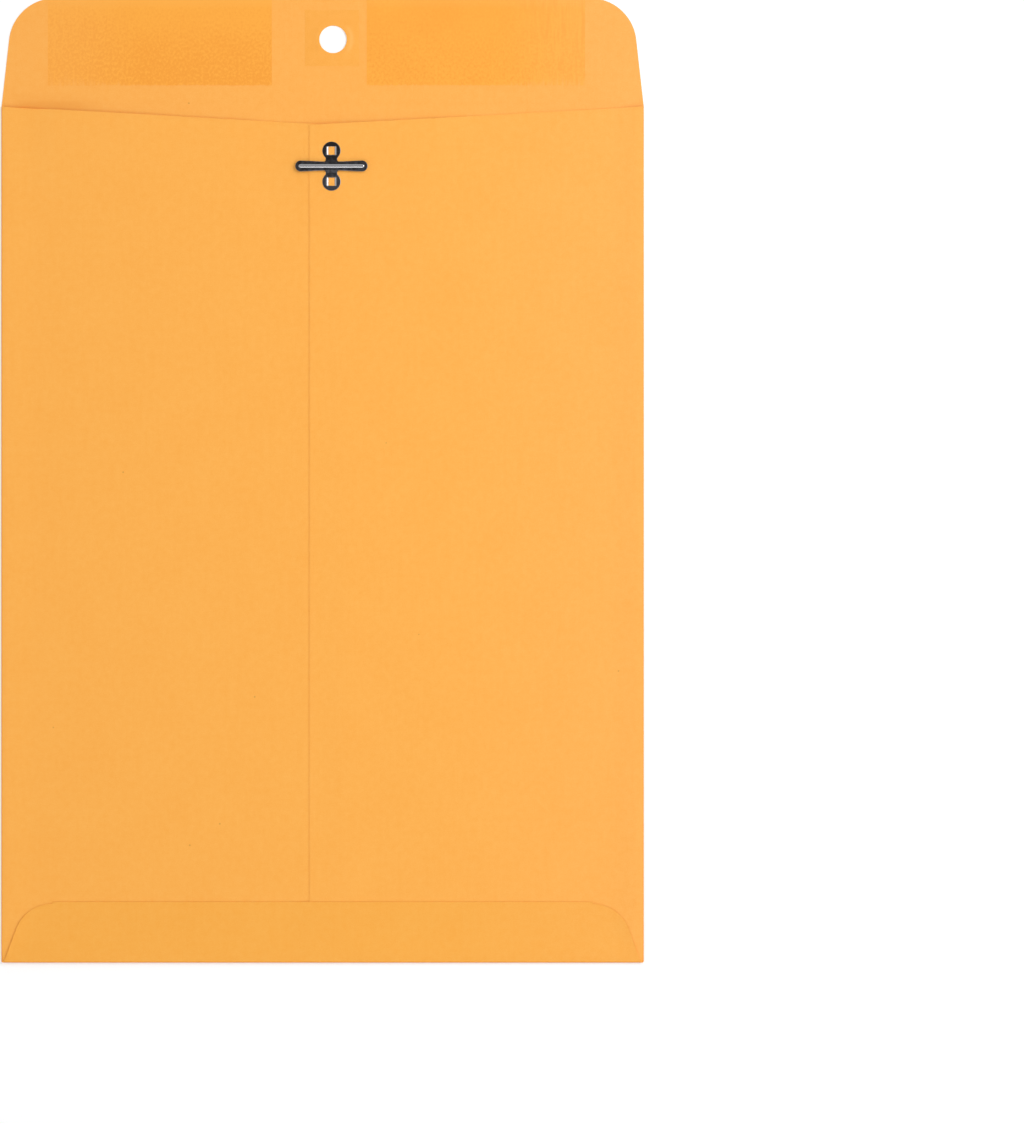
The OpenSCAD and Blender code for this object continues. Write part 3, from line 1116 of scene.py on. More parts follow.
@dataclass
class PaperBlank:
    """The one die-cut sheet of kraft, in the four stretches that its folds divide it into."""

    pocket: PocketFrame
    relief: Relief
    throat_drop: float = 6.35 * MM
    flap_taper: float = 6.4
    flap_r: float = 16.6 * MM
    bottom_flap_taper: float = 20.0
    bottom_flap_r: float = 13.7 * MM
    bottom_flap_nick: float = 0.7 * MM
    step_run: float = 6.5 * MM
    edge_lift: float = 0.07 * MM
    edge_run: float = 3.0 * MM
    left_corner_lift: float = 0.22 * MM
    left_corner_run: float = 16.0 * MM
    corner_r: float = 0.6 * MM
    score_wear: float = 0.05
    # Painted shade at the left of the pocket's mouth, where the raised back shadows the sheet.
    mouth_shade: float = 0.8
    mouth_from: float = 2.2 * MM
    mouth_full: float = 8.7 * MM
    mouth_fading: float = 22.0 * MM
    mouth_to: float = 40.0 * MM
    mouth_above: float = 3.5 * MM
    mouth_below: float = 1.5 * MM
    mouth_core: float = 1.0 / 6.0
    # The bottom flap's kraft, a little deeper in tone than the rest of the sheet.
    bottom_kraft: Kraft = Kraft("bottom_flap_kraft", pale=(0.975, 0.459, 0.086), deep=(0.95, 0.405, 0.063))
    grid: float = 3.2 * MM
    turn_steps: int = 12
    curl_steps: int = 24
    slits: Sequence[Loop] = ()

    def __post_init__(self) -> None:
        """Work out the three folds' turns, the throat's slope and how far a lapped layer can settle."""
        pocket = self.pocket
        self.slope = self.throat_drop / ((pocket.right - pocket.left) / 2)
        self.layer = pocket.right_top - pocket.left_top
        self.left_turn = self._turn(Outward.LEFT, -pocket.panel_left, pocket.left_top)
        self.right_turn = self._turn(Outward.RIGHT, pocket.panel_right, pocket.right_top)
        self.bottom_turn = self._turn(Outward.BOTTOM, -pocket.panel_bottom, pocket.bottom_flap_top)
        self.bottom_edge = [np.array(self.bottom_outline())]

    def _turn(self, outward: Outward, edge: float, top: float) -> Turn:
        """Return the half turn that ends in a back layer with its top at a level."""
        return Turn(outward, edge, (top - self.pocket.paper) / 2, top / 2)

    def _lines(self, low: float, high: float, turn_low: float = 0.0, turn_high: float = 0.0) -> list[float]:
        """Place grid lines over a stretch and, closer together, over the turns at its ends.

        Args:
            low: Start of the flat stretch.
            high: End of the flat stretch.
            turn_low: Length of the turn before it.
            turn_high: Length of the turn after it.

        Returns:
            The lines in order.
        """
        before = list(np.linspace(low - turn_low, low, self.turn_steps + 1)[:-1]) if turn_low else []
        after = list(np.linspace(high, high + turn_high, self.turn_steps + 1)[1:]) if turn_high else []
        return before + steps(low, high, self.grid) + after

    def _throat(self, run: float) -> float:
        """Return the throat's place along Y, at a distance from the side fold that it falls from."""
        return self.pocket.throat - self.slope * run

    def _piece(self, mesh: SheetMesh, name: str, nodes: tuple[str, ...], finish: Kraft = Kraft()) -> Piece:
        """Dress a stretch of the blank in kraft, with its cut edges bare."""
        return Piece(mesh.to_object(name, finish.material(), CutPaper().material()), Slot.KRAFT, nodes)

    def _fold_end(self, turn: Turn) -> Loop:
        """Trim the lower end of a side fold so that the pocket's corner is round in plan.

        Args:
            turn: The side fold.

        Returns:
            Points from the front's edge of the turn to the back's: length along the turn, and height.
        """
        points = []
        for share in np.linspace(0.0, 1.0, self.turn_steps + 1):
            inwards = turn.radius * (1.0 - math.sin(share * math.pi))
            reach = max(self.corner_r - inwards, 0.0)
            height = self.corner_r - math.sqrt(self.corner_r ** 2 - reach ** 2)
            points.append((share * turn.strip(), height))
        return points

    def right_step(self, x: float, y: float) -> float:
        """Return how far the right back panel settles beyond the lap, down to the left one's level.

        Args:
            x: Place along X.
            y: Place along Y.

        Returns:
            The drop.
        """
        pocket = self.pocket
        held = smoothstep(0.0, self.relief.sag_run, min(pocket.panel_right - x, y - pocket.panel_bottom))
        return self.layer * held * smoothstep(pocket.lap, pocket.lap + self.step_run, x)

    def bottom_step(self, x: float, y: float) -> float:
        """Return how far the bottom flap settles onto the layers under it, on both sides of the lap.

        Args:
            x: Place along X.
            y: Place along Y.

        Returns:
            The drop.
        """
        pocket = self.pocket
        held = smoothstep(0.0, self.relief.sag_run / 2, y - pocket.panel_bottom)
        left = self.layer * held * smoothstep(pocket.seam, pocket.seam - self.step_run, x)
        return left + self.right_step(x, y)

    def mouth(self, x: float, y: float) -> float:
        """Return the painted shade where the pocket's mouth is opened, at its left, which stands in for the
        shadow under the raised back.

        Args:
            x: Place along X.
            y: Place along Y.

        Returns:
            The painted shade's share.
        """
        from_left, above = x - self.pocket.left, y - self.pocket.fold
        across = smoothstep(self.mouth_from, self.mouth_full, from_left)
        across *= smoothstep(self.mouth_to, self.mouth_fading, from_left)
        run = self.mouth_above if above > 0.0 else -self.mouth_below
        return self.mouth_shade * across * smoothstep(run, run * self.mouth_core, above)

    def front_and_flap(self) -> Piece:
        """Make the flat front with the closure flap.

        Returns:
            The settled piece.
        """
        pocket = self.pocket
        flap_h, flap_w = pocket.top - pocket.fold, pocket.right - pocket.left
        edge = shifted(flap_edge(flap_w, flap_h, self.flap_taper, self.flap_r), (0.0, pocket.fold))
        outline = [
            (pocket.panel_left, pocket.throat), (pocket.panel_left, pocket.bottom),
            (pocket.inset_left, pocket.bottom), (pocket.inset_left, pocket.panel_bottom),
            (pocket.inset_right, pocket.panel_bottom), (pocket.inset_right, pocket.bottom),
            (pocket.panel_right, pocket.bottom), (pocket.panel_right, pocket.throat), *edge
        ]
        hole = circle(pocket.hole, pocket.hole_r)
        curl = list(np.linspace(pocket.fold, pocket.fold_end, self.curl_steps + 1))
        rows = steps(pocket.bottom, pocket.fold, self.grid)[:-1] + curl
        rows += steps(pocket.fold_end, pocket.top, self.grid)[1:]
        plan = Plan([outline, hole], steps(pocket.left, pocket.right, self.grid), rows)

        def skins(x: float, y: float) -> SheetPoint:
            """Lay the sheet flat, rubbed along the flap's score, with painted shade at the left of the
            mouth.

            Args:
                x: Place along X.
                y: Place along Y.

            Returns:
                The place's two skins.
            """
            share = min(1.0, max(0.0, (y - pocket.fold) / (pocket.fold_end - pocket.fold)))
            # Rubbing along the score, and painted shade at the left of the mouth.
            wear_and_painted_light = max(self.score_wear * math.sin(math.pi * share), self.mouth(x, y))
            return SheetPoint(Vector((x, y, pocket.paper)), Vector((x, y, 0.0)), wear_and_painted_light)

        mesh = SheetMesh().add(plan, skins, inside_up=True)
        piece = self._piece(mesh, "front_and_flap", ("front_panel", "flap_fold", "closure_flap"))
        middle = (pocket.left + pocket.right) / 2
        start, end = Vector((middle, pocket.fold, 0.0)), Vector((middle, pocket.fold_end, 0.0))
        return piece.settle_across(Body.FLAP, start, end)

    def left_back(self) -> Piece:
        """Make the left back panel with its side fold.

        Returns:
            The settled piece.
        """
        pocket, turn = self.pocket, self.left_turn
        outline = shifted(self._fold_end(turn), (pocket.panel_left - turn.strip(), pocket.bottom)) + [
            (pocket.inset_left, pocket.bottom),
            (pocket.inset_left, pocket.panel_bottom), (pocket.lap, pocket.panel_bottom),
            (pocket.lap, self._throat(pocket.lap - pocket.left)),
            (pocket.panel_left, self._throat(pocket.panel_left - pocket.left)),
            (pocket.panel_left - turn.strip(), pocket.throat)
        ]
        columns = self._lines(pocket.panel_left, pocket.lap, turn_low=turn.strip())
        plan = Plan([outline, *self.slits], columns, steps(pocket.bottom, pocket.throat, self.grid))
        mesh = SheetMesh().add(plan, lambda x, y: turn.place(x, y, self.relief.lift(x, y), pocket.paper))
        return self._piece(mesh, "left_back", ("left_side_fold", "left_back_panel")).settle()

    def right_back(self) -> Piece:
        """Make the right back panel with its side fold, lapped over the left one.

        Returns:
            The settled piece.
        """
        pocket, turn = self.pocket, self.right_turn
        outline = [
            (pocket.seam, pocket.panel_bottom), (pocket.inset_right, pocket.panel_bottom),
            (pocket.inset_right, pocket.bottom),
            *shifted(mirrored(self._fold_end(turn)), (pocket.panel_right + turn.strip(), pocket.bottom)),
            (pocket.panel_right + turn.strip(), pocket.throat),
            (pocket.panel_right, self._throat(pocket.right - pocket.panel_right)),
            (pocket.seam, self._throat(pocket.right - pocket.seam))
        ]
        columns = self._lines(pocket.seam, pocket.panel_right, turn_high=turn.strip())
        plan = Plan([outline, *self.slits], columns, steps(pocket.bottom, pocket.throat, self.grid))

        def skins(x: float, y: float) -> SheetPoint:
            """Bend the panel round its fold, settled beyond the lap."""
            return turn.place(x, y, self.relief.lift(x, y) - self.right_step(x, y), pocket.paper)

        mesh = SheetMesh().add(plan, skins)
        return self._piece(mesh, "right_back", ("right_side_fold", "right_back_panel")).settle()

    def bottom_outline(self, margin: float = 0.0) -> Loop:
        """Draw the bottom flap's free edge, drawn in by a margin.

        Args:
            margin: Distance from the paper's edge, or 0 for the paper itself.

        Returns:
            Points from the right end of the root to the left end.
        """
        pocket = self.pocket
        root_w = pocket.inset_right - pocket.inset_left - 2 * margin
        nick = 0.0 if margin else self.bottom_flap_nick
        height = pocket.bottom_flap_end - pocket.panel_bottom - self.bottom_flap_nick - margin + nick
        edge = flap_edge(root_w, height, self.bottom_flap_taper, self.bottom_flap_r - margin, nick)
        return shifted(edge, ((pocket.inset_left + pocket.inset_right) / 2, pocket.panel_bottom))

    def bottom_place(self, x: float, y: float, thickness: float, below: float) -> SheetPoint:
        """Place a sheet on the bottom flap's own surface, or a little below it.

        Args:
            x: Flat place along X.
            y: Flat place along Y, which runs on past the bottom fold into its turn.
            thickness: Thickness of the sheet.
            below: How far the sheet's middle lies below the flap's.

        Returns:
            The place's two skins.
        """
        from_edge = distance_to(self.bottom_edge, np.array([(x, y)]))[0]
        off_fold = smoothstep(0.0, self.edge_run, y - self.pocket.panel_bottom)
        at_corner = smoothstep(self.left_corner_run, 0.0, x - self.pocket.inset_left)
        height = self.edge_lift + at_corner * self.left_corner_lift
        loose = smoothstep(self.edge_run, 0.0, from_edge) * off_fold * height
        lift = self.relief.lift(x, y) - self.bottom_step(x, y) - below + loose
        return self.bottom_turn.place(x, y, lift, thickness)

    def bottom_flap(self) -> Piece:
        """Make the bottom flap with its fold, held with glue over both back panels.

        Returns:
            The settled piece.
        """
        pocket, strip = self.pocket, self.bottom_turn.strip()
        foot = pocket.panel_bottom - strip
        outline = [(pocket.inset_left, foot), (pocket.inset_right, foot), *self.bottom_outline()]
        rows = self._lines(pocket.panel_bottom, pocket.bottom_flap_end, turn_low=strip)
        plan = Plan([outline], steps(pocket.inset_left, pocket.inset_right, self.grid), rows)
        mesh = SheetMesh().add(plan, lambda x, y: self.bottom_place(x, y, pocket.paper, 0.0))
        return self._piece(mesh, "bottom_flap_fold", ("bottom_fold", "bottom_flap"), self.bottom_kraft).settle()

    def build(self) -> list[Piece]:
        """Make the four stretches of the blank."""
        return [self.front_and_flap(), self.left_back(), self.right_back(), self.bottom_flap()]


@dataclass
class GlueLines:
    """The two glue films that hold the back together."""

    blank: PaperBlank
    bottom_margin: float = 3.0 * MM
    grid: float = 4.0 * MM

    def build(self) -> list[Piece]:
        """Make the film in the seam and the one under the bottom flap."""
        return [self.seam(), self.bottom()]

    def seam(self) -> Piece:
        """Make the film between the two back panels.

        Returns:
            The settled piece.
        """
        low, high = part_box("seam_glue")
        relief = self.blank.relief
        plan = Plan(
            [rectangle(low.x, low.y, high.x, high.y), *self.blank.slits],
            steps(low.x, high.x, self.grid), steps(low.y, high.y, self.grid)
        )

        def skins(x: float, y: float) -> SheetPoint:
            """Fill the gap between the panels."""
            lift = relief.lift(x, y)
            return SheetPoint(Vector((x, y, high.z + lift)), Vector((x, y, low.z + lift)))

        return self._piece(SheetMesh().add(plan, skins), "seam_glue")

    def bottom(self) -> Piece:
        """Make the film under the bottom flap.

        Returns:
            The settled piece.
        """
        pocket = self.blank.pocket
        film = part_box("bottom_flap")[0].z - pocket.right_top
        plan = Plan(
            [self.blank.bottom_outline(self.bottom_margin)],
            steps(pocket.inset_left, pocket.inset_right, self.grid),
            steps(pocket.panel_bottom, pocket.bottom_flap_end, self.grid)
        )
        below = (pocket.paper + film) / 2
        mesh = SheetMesh().add(plan, lambda x, y: self.blank.bottom_place(x, y, film, below))
        return self._piece(mesh, "bottom_flap_glue")

    @staticmethod
    def _piece(mesh: SheetMesh, node: str) -> Piece:
        """Settle a film of dried glue in place of its node."""
        glue = PaperGlue().material()
        return Piece(mesh.to_object(f"{node}_film", glue, glue), Slot.GLUE, (node,)).settle()


@dataclass
class FlapGum:
    """The two strips of remoistenable gum on the inside of the closure flap."""

    sunk: float = 0.01 * MM
    ragged: float = 0.35 * MM
    tooth: float = 0.9 * MM
    tooth_points: int = 3
    left_tone: GumTone = GumTone(
        lightness=0.47, contrast=6.5, paler_above=0.65, paler_top=0.5, outer_streaks=3.0, outer_pores=1.2
    )
    right_tone: GumTone = GumTone(
        lightness=0.57, contrast=4.6, paler_above=0.0, paler_top=0.08, outer_streaks=5.0, outer_pores=0.4
    )
    grid: float = 3.0 * MM

    def build(self) -> list[Piece]:
        """Make both strips.

        Returns:
            The settled pieces.
        """
        return [
            self.strip("left_gum_strip", True, self.left_tone),
            self.strip("right_gum_strip", False, self.right_tone),
        ]

    def strip(self, node: str, is_left: bool, tone: GumTone) -> Piece:
        """Make one strip with a ragged lower edge.

        Args:
            node: CAD node that the strip stands for.
            is_left: Whether the strip lies to the left of the hole.
            tone: How its gum dried.

        Returns:
            The strip.
        """
        low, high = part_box(node)
        lower = [
            (x, low.y + self.ragged * noise.noise(Vector((x / self.tooth, low.y, 0.0))))
            for x in steps(low.x, high.x, self.tooth / self.tooth_points)
        ]
        outline = lower + [(high.x, high.y), (low.x, high.y)]
        plan = Plan([outline], steps(low.x, high.x, self.grid), steps(low.y + self.grid, high.y, self.grid))
        inner, outer = (high.x, low.x) if is_left else (low.x, high.x)
        finish = DriedGum(f"{node}_film", inner, outer, low.y, high.y, tone).material()
        top, foot = high.z, low.z - self.sunk
        mesh = SheetMesh()
        mesh.add(plan, lambda x, y: SheetPoint(Vector((x, y, top)), Vector((x, y, foot))), inside_up=True)
        return Piece(mesh.to_object(f"{node}_sheet", finish, finish), Slot.GUM, (node,), Body.FLAP).settle()


@dataclass
class HolePatch:
    """The paper patch round the flap's hole, pressed down at its edges and embossed by the punch."""

    pocket: PocketFrame
    feather: float = 1.4 * MM
    edge_t: float = 0.02 * MM
    sunk: float = 0.01 * MM
    rim_r: float = 6.0 * MM
    rim_run: float = 1.4 * MM
    rim_h: float = 0.13 * MM
    pressed: float = 0.69
    raised: float = 0.88
    # Painted highlight: a lighter ring on the right of the rim, where the light catches it.
    highlight_r: float = 6.6 * MM
    highlight_w: float = 0.8 * MM
    highlight_from: float = 0.6
    # Its lighter tint is the painted highlight on the rim.
    paper: Kraft = Kraft(
        "patch_kraft", pale=(0.985, 0.446, 0.089), deep=(0.95, 0.401, 0.065), worn_and_painted_light=(1.0, 0.50, 0.135)
    )
    ragged: float = 0.25 * MM
    ragged_run: float = 2.0 * MM
    rim_rings: int = 4
    grid: float = 0.7 * MM

    def build(self) -> list[Piece]:
        """Make the patch.

        Returns:
            The settled piece, in a list.
        """
        low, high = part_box("hole_patch")
        hole = circle(self.pocket.hole, self.pocket.hole_r)
        corners = rectangle(low.x, low.y, high.x, high.y)
        outline = [p for a, b in zip(corners, corners[1:] + corners[:1]) for p in self._torn(a, b)]
        radii = steps(self.rim_r, self.rim_r + self.rim_run, self.rim_run / self.rim_rings)
        rim = [p for radius in radii for p in circle(self.pocket.hole, radius)]
        plan = Plan([outline, hole], steps(low.x, high.x, self.grid), steps(low.y, high.y, self.grid), rim)

        def skins(x: float, y: float) -> SheetPoint:
            """Thin the patch towards its edges, raise the hole's rim and give the rim its painted
            highlight.

            Args:
                x: Place along X.
                y: Place along Y.

            Returns:
                The place's two skins.
            """
            inside = min(x - low.x, high.x - x, y - low.y, high.y - y)
            thick = self.edge_t + (high.z - low.z - self.edge_t) * smoothstep(0.0, self.feather, inside)
            off = (x - self.pocket.hole[0], y - self.pocket.hole[1])
            top = low.z + thick + self.rim(*off)
            return SheetPoint(Vector((x, y, top)), Vector((x, y, low.z - self.sunk)), self.rim_highlight(*off))

        mesh = SheetMesh().add(plan, skins)
        obj = mesh.to_object("hole_patch_sheet", self.paper.material(), CutPaper().material())
        return [Piece(obj, Slot.PATCH, ("hole_patch",), Body.FLAP).settle()]

    def rim(self, x: float, y: float) -> float:
        """Return how far the punch raised the rim, which the clasp's lobes press flat above and below.

        Args:
            x: Place across, from the hole's centre.
            y: Place along, from the hole's centre.

        Returns:
            The height over the patch.
        """
        off = math.hypot(x, y)
        sideways = smoothstep(self.pressed, self.raised, abs(x) / off)
        return self.rim_h * sideways * smoothstep(self.rim_r + self.rim_run, self.rim_r, off)

    def rim_highlight(self, x: float, y: float) -> float:
        """Return the painted highlight on the rim's right, for a place from the hole's centre.

        Args:
            x: Place across, from the hole's centre.
            y: Place along, from the hole's centre.

        Returns:
            A share from 0 to 1.
        """
        off = math.hypot(x, y)
        ring = math.exp(-((off - self.highlight_r) / self.highlight_w) ** 2)
        return ring * smoothstep(self.highlight_from, 1.0, x / off)

    def _torn(self, start: Point, end: Point) -> Loop:
        """Lay a slightly uneven line from one corner towards the next.

        Args:
            start: The first corner.
            end: The next corner, counter-clockwise.

        Returns:
            The line's points, without its end.
        """
        length = math.dist(start, end)
        along = ((end[0] - start[0]) / length, (end[1] - start[1]) / length)
        points = []
        for t in steps(0.0, length, self.grid)[:-1]:
            x, y = start[0] + along[0] * t, start[1] + along[1] * t
            inwards = self.ragged * abs(noise.noise(Vector((x, y, 0.0)) / self.ragged_run))
            points.append((x - along[1] * inwards, y + along[0] * inwards))
        return points


@dataclass
class Clasp:
    """The tinplate stamping: two clinched lobes, a raised bridge and two prongs with a pressed rib."""

    tin: float = 0.25 * MM
    root_w: float = 3.15 * MM
    tip_w: float = 3.9 * MM
    neck_w: float = 4.05 * MM
    lobe_r: float = 3.25 * MM
    lobe_pitch: float = 11.0 * MM
    window_w: float = 3.4 * MM
    window_h: float = 2.9 * MM
    tang_gap: float = 2.2 * MM
    clinch: float = 0.95 * MM
    neck_run: float = 0.7 * MM
    bar_fillet: float = 0.9 * MM
    lobe_fillet: float = 0.8 * MM
    rib_w: float = 1.28 * MM
    rib_h: float = 0.22 * MM
    rib_inset: float = 1.15 * MM
    bend_run: float = 0.2 * MM
    # Painted highlight on the rib and, a little, near the rolled edges.
    rib_highlight: float = 0.68
    edge_highlight: float = 0.3
    rib_shoulder: float = 0.4
    roll: float = 0.07 * MM
    roll_run: float = 0.13 * MM
    roll_shares: tuple[float, ...] = (0.45, 1.0)
    rib_end_shares: tuple[float, ...] = (0.4, 0.6, 0.8, 0.9, 1.0)
    slit_gap: float = 0.03 * MM
    root_sink: float = 0.05 * MM
    tang_play: float = 0.02 * MM
    tang_lean: float = 0.05 * MM
    tang_neck: float = 0.02 * MM
    tang_depth: float = 0.2 * MM
    tang_rounds: int = 3
    corner_cut: float = 0.25
    grid: float = 0.35 * MM
    lobe_grid: float = 0.3 * MM
    rib_grid: float = 0.12 * MM
    bend_grid: float = 0.05 * MM

    def __post_init__(self) -> None:
        """Read the clasp's place and levels from the frame."""
        low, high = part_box("clasp_base")
        self.centre: Point = ((low.x + high.x) / 2, (low.y + high.y) / 2)
        self.bar_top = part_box("right_prong")[1].z - self.rib_h
        self.paper_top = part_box("right_back_panel")[1].z
        self.lobe_top = self.paper_top + self.tin
        self.clinch_z = low.z + self.tin / 2
        self.tip_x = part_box("right_prong")[1].x - self.centre[0] - self.tip_w / 2
        joints = {j["name"]: j for j in frame["joints"]}
        self.bend_x = joints["right_prong_bend"]["pos_m"][0] - self.centre[0]
        self.split_x = self.bend_x - self.bend_run
        self.rib_r = ((self.rib_w / 2) ** 2 + self.rib_h ** 2) / (2 * self.rib_h)
        self.rib_tip_x = self.tip_x + self.tip_w / 2 - self.rib_inset - self.rib_w / 2
        self.free_edges = [closed(w) for w in self.windows()]
        self.free_edges += [np.array(self._prong_edge()), np.array(mirrored(self._prong_edge()))]
        side = np.array(self._plate_edge())
        self.free_edges += [side, side * (1.0, -1.0)]

    def windows(self) -> list[Loop]:
        """Draw the window in each lobe.

        Returns:
            The two outlines, from the clasp's centre.
        """
        half_w, half_h = self.window_w / 2, self.window_h / 2
        centres = (self.lobe_pitch / 2, -self.lobe_pitch / 2)
        return [rectangle(-half_w, y - half_h, half_w, y + half_h) for y in centres]

    def slits(self) -> list[Loop]:
        """Draw the slits that the tangs pass through, in the frame's own axes.

        Returns:
            The four outlines.
        """
        inner, outer = self.tang_gap / 2 - self.slit_gap, self.tang_gap / 2 + self.tin + self.slit_gap
        half_h = self.window_h / 2 + self.slit_gap
        loops = []
        for lobe_y in (-self.lobe_pitch / 2, self.lobe_pitch / 2):
            right = rectangle(inner, lobe_y - half_h, outer, lobe_y + half_h)
            loops += [shifted(right, self.centre), shifted(mirrored(right), self.centre)]
        return loops

    def _plate_edge(self) -> Loop:
        """Draw the plate's edge over the upper lobe, from the right split to the left one.

        Returns:
            The edge's points, from the clasp's centre.
        """
        root, neck, lobe_y = self.root_w / 2, self.neck_w / 2, self.lobe_pitch / 2
        lobe, flare = self.lobe_fillet, self.split_x - neck
        reach = self.lobe_r + lobe
        fillet_y = lobe_y - math.sqrt(reach ** 2 - (neck + lobe) ** 2)
        meets = math.degrees(math.atan2(lobe_y - fillet_y, -(neck + lobe)))
        right = [(self.split_x, root)]
        round_out = arc((1.0, 1.0), 1.0, 270.0, 180.0, spacing=10.0)[1:]
        right += [(neck + x * flare, root + y * self.bar_fillet) for x, y in round_out]
        right += arc((neck + lobe, fillet_y), lobe, 180.0, meets, spacing=15.0)
        right += arc((0.0, lobe_y), self.lobe_r, meets - 180.0, 90.0)[1:]
        return right + mirrored(right)[1:]

    def _prong_edge(self) -> Loop:
        """Draw the right prong's edge, from its root's lower corner round the tip to its upper one.

        Returns:
            The edge's points, from the clasp's centre.
        """
        root, tip = self.root_w / 2, self.tip_w / 2
        lean = math.degrees(math.asin((tip - root) / (self.tip_x - self.split_x)))
        round_tip = arc((self.tip_x, 0.0), tip, -90.0 - lean, 90.0 + lean)
        return [(self.split_x, -root), *round_tip, (self.split_x, root)]

    def rib(self, x: float, y: float) -> float:
        """Return the rib's height above the bar.

        Args:
            x: Place across, from the clasp's centre.
            y: Place along, from the clasp's centre.

        Returns:
            The height, 0 beside the rib.
        """
        off = math.hypot(max(abs(x) - self.rib_tip_x, 0.0), y)
        if off >= self.rib_w / 2:
            return 0.0
        return math.sqrt(self.rib_r ** 2 - off ** 2) - (self.rib_r - self.rib_h)

    def skins(self, x: float, y: float, on_plate: bool) -> SheetPoint:
        """Press a flat place of the stamping into shape.

        Args:
            x: Place across, from the clasp's centre.
            y: Place along, from the clasp's centre.
            on_plate: Whether the place is on the plate, which steps down to its lobes, or on a prong.

        Returns:
            The place's two skins, with painted highlight on the rib and a little on the rolled edge.
        """
        down = smoothstep(self.root_w / 2, self.root_w / 2 + self.neck_run, abs(y)) if on_plate else 0.0
        rib = self.rib(x, y)
        level = self.bar_top + (self.lobe_top - self.bar_top) * down + rib
        to_edge = distance_to(self.free_edges, np.array([(x, y)]))[0]
        near = max(0.0, 1.0 - to_edge / self.roll_run)
        upper = Vector((x + self.centre[0], y + self.centre[1], level - self.roll * near * near))
        lower = Vector((upper.x, upper.y, level - self.tin))
        on_rib = smoothstep(0.0, self.rib_h * self.rib_shoulder, rib)
        # Painted highlight on the rib and, a little, near the rolled edge.
        return SheetPoint(upper, lower, self.rib_highlight * on_rib + self.edge_highlight * near)

    def _edge_rings(self, loops: Sequence[Loop]) -> Loop:
        """Lay points beside each loop where its edge rolls over.

        Args:
            loops: The outline, and then its holes.

        Returns:
            The points.
        """
        rings = []
        for share in self.roll_shares:
            rings += inset(loops[0], share * self.roll_run)
            for hole in loops[1:]:
                rings += inset(hole, -share * self.roll_run)
        return rings

    def _rows(self, reach: float) -> list[float]:
        """Place grid rows: close together over the rib, and wider beyond it.

        Args:
            reach: Distance of the farthest rows from the middle.

        Returns:
            The rows in order.
        """
        half = self.rib_w / 2
        beyond = steps(half, reach, self.grid)[1:]
        return [-y for y in reversed(beyond)] + steps(-half, half, self.rib_grid) + beyond

    def tang(self, side: float, lobe_y: float) -> tuple[Plan, Skins]:
        """Draw one tang, bent down from its window's edge through the paper and clinched outwards.

        Args:
            side: 1 for the right tang and -1 for the left one.
            lobe_y: Place of its lobe's centre.

        Returns:
            The tang's flat outline and its skins.
        """
        leg = self.tang_gap / 2 + self.tin / 2
        lobe_z = self.lobe_top - self.tin / 2
        root_z = lobe_z - self.root_sink
        path = [
            (self.window_w / 2 + self.tin, root_z), (self.window_w / 2, root_z),
            (leg + self.tang_lean, self.paper_top + self.tang_neck),
            (leg, self.paper_top - self.tang_depth),
            (leg, self.clinch_z), (leg + self.clinch, self.clinch_z)
        ]
        shares = (self.corner_cut, 1.0 - self.corner_cut)
        for _ in range(self.tang_rounds):
            cut = [path[0]]
            for (ax, az), (bx, bz) in zip(path, path[1:]):
                cut += [(ax + (bx - ax) * share, az + (bz - az) * share) for share in shares]
            path = cut + [path[-1]]
        line = np.array(path)
        run = np.concatenate([[0.0], np.cumsum(np.linalg.norm(np.diff(line, axis=0), axis=1))])
        tangent = np.gradient(line, axis=0)
        tangent /= np.linalg.norm(tangent, axis=1)[:, None]
        half_h = self.window_h / 2 - self.tang_play
        plan = Plan([rectangle(0.0, -half_h, run[-1], half_h)], list(run), [-half_h, 0.0, half_h])

        def skins(s: float, y: float) -> SheetPoint:
            """Follow the bent line with the tin's thickness on both sides of it.

            Args:
                s: Length along the bent line.
                y: Place across the tang.

            Returns:
                The place's two skins.
            """
            x, z, along_x, along_z = (np.interp(s, run, c) for c in (*line.T, *tangent.T))
            middle = Vector((self.centre[0] + side * x, self.centre[1] + lobe_y + y, z))
            half = Vector((side * along_z, 0.0, -along_x)) * (self.tin / 2)
            # The whole tang carries the painted highlight.
            return SheetPoint(middle + half, middle - half, 1.0)

        return plan, skins

    def plate(self) -> Piece:
        """Make the lobes, necks and bridge, with the four tangs.

        Returns:
            The settled piece.
        """
        edge = self._plate_edge()
        outline = edge + [(-x, -y) for x, y in edge]
        loops = [outline, *self.windows()]
        columns = steps(-self.lobe_r, self.lobe_r, self.lobe_grid)
        reach = self.lobe_pitch / 2 + self.lobe_r
        plan = Plan(loops, columns, self._rows(reach), self._edge_rings(loops))
        mesh = SheetMesh().add(plan, lambda x, y: self.skins(x, y, True))
        for lobe_y in (-self.lobe_pitch / 2, self.lobe_pitch / 2):
            for side in (-1.0, 1.0):
                mesh.add(*self.tang(side, lobe_y))
        return self._piece(mesh, "clasp_plate", "clasp_base").settle()

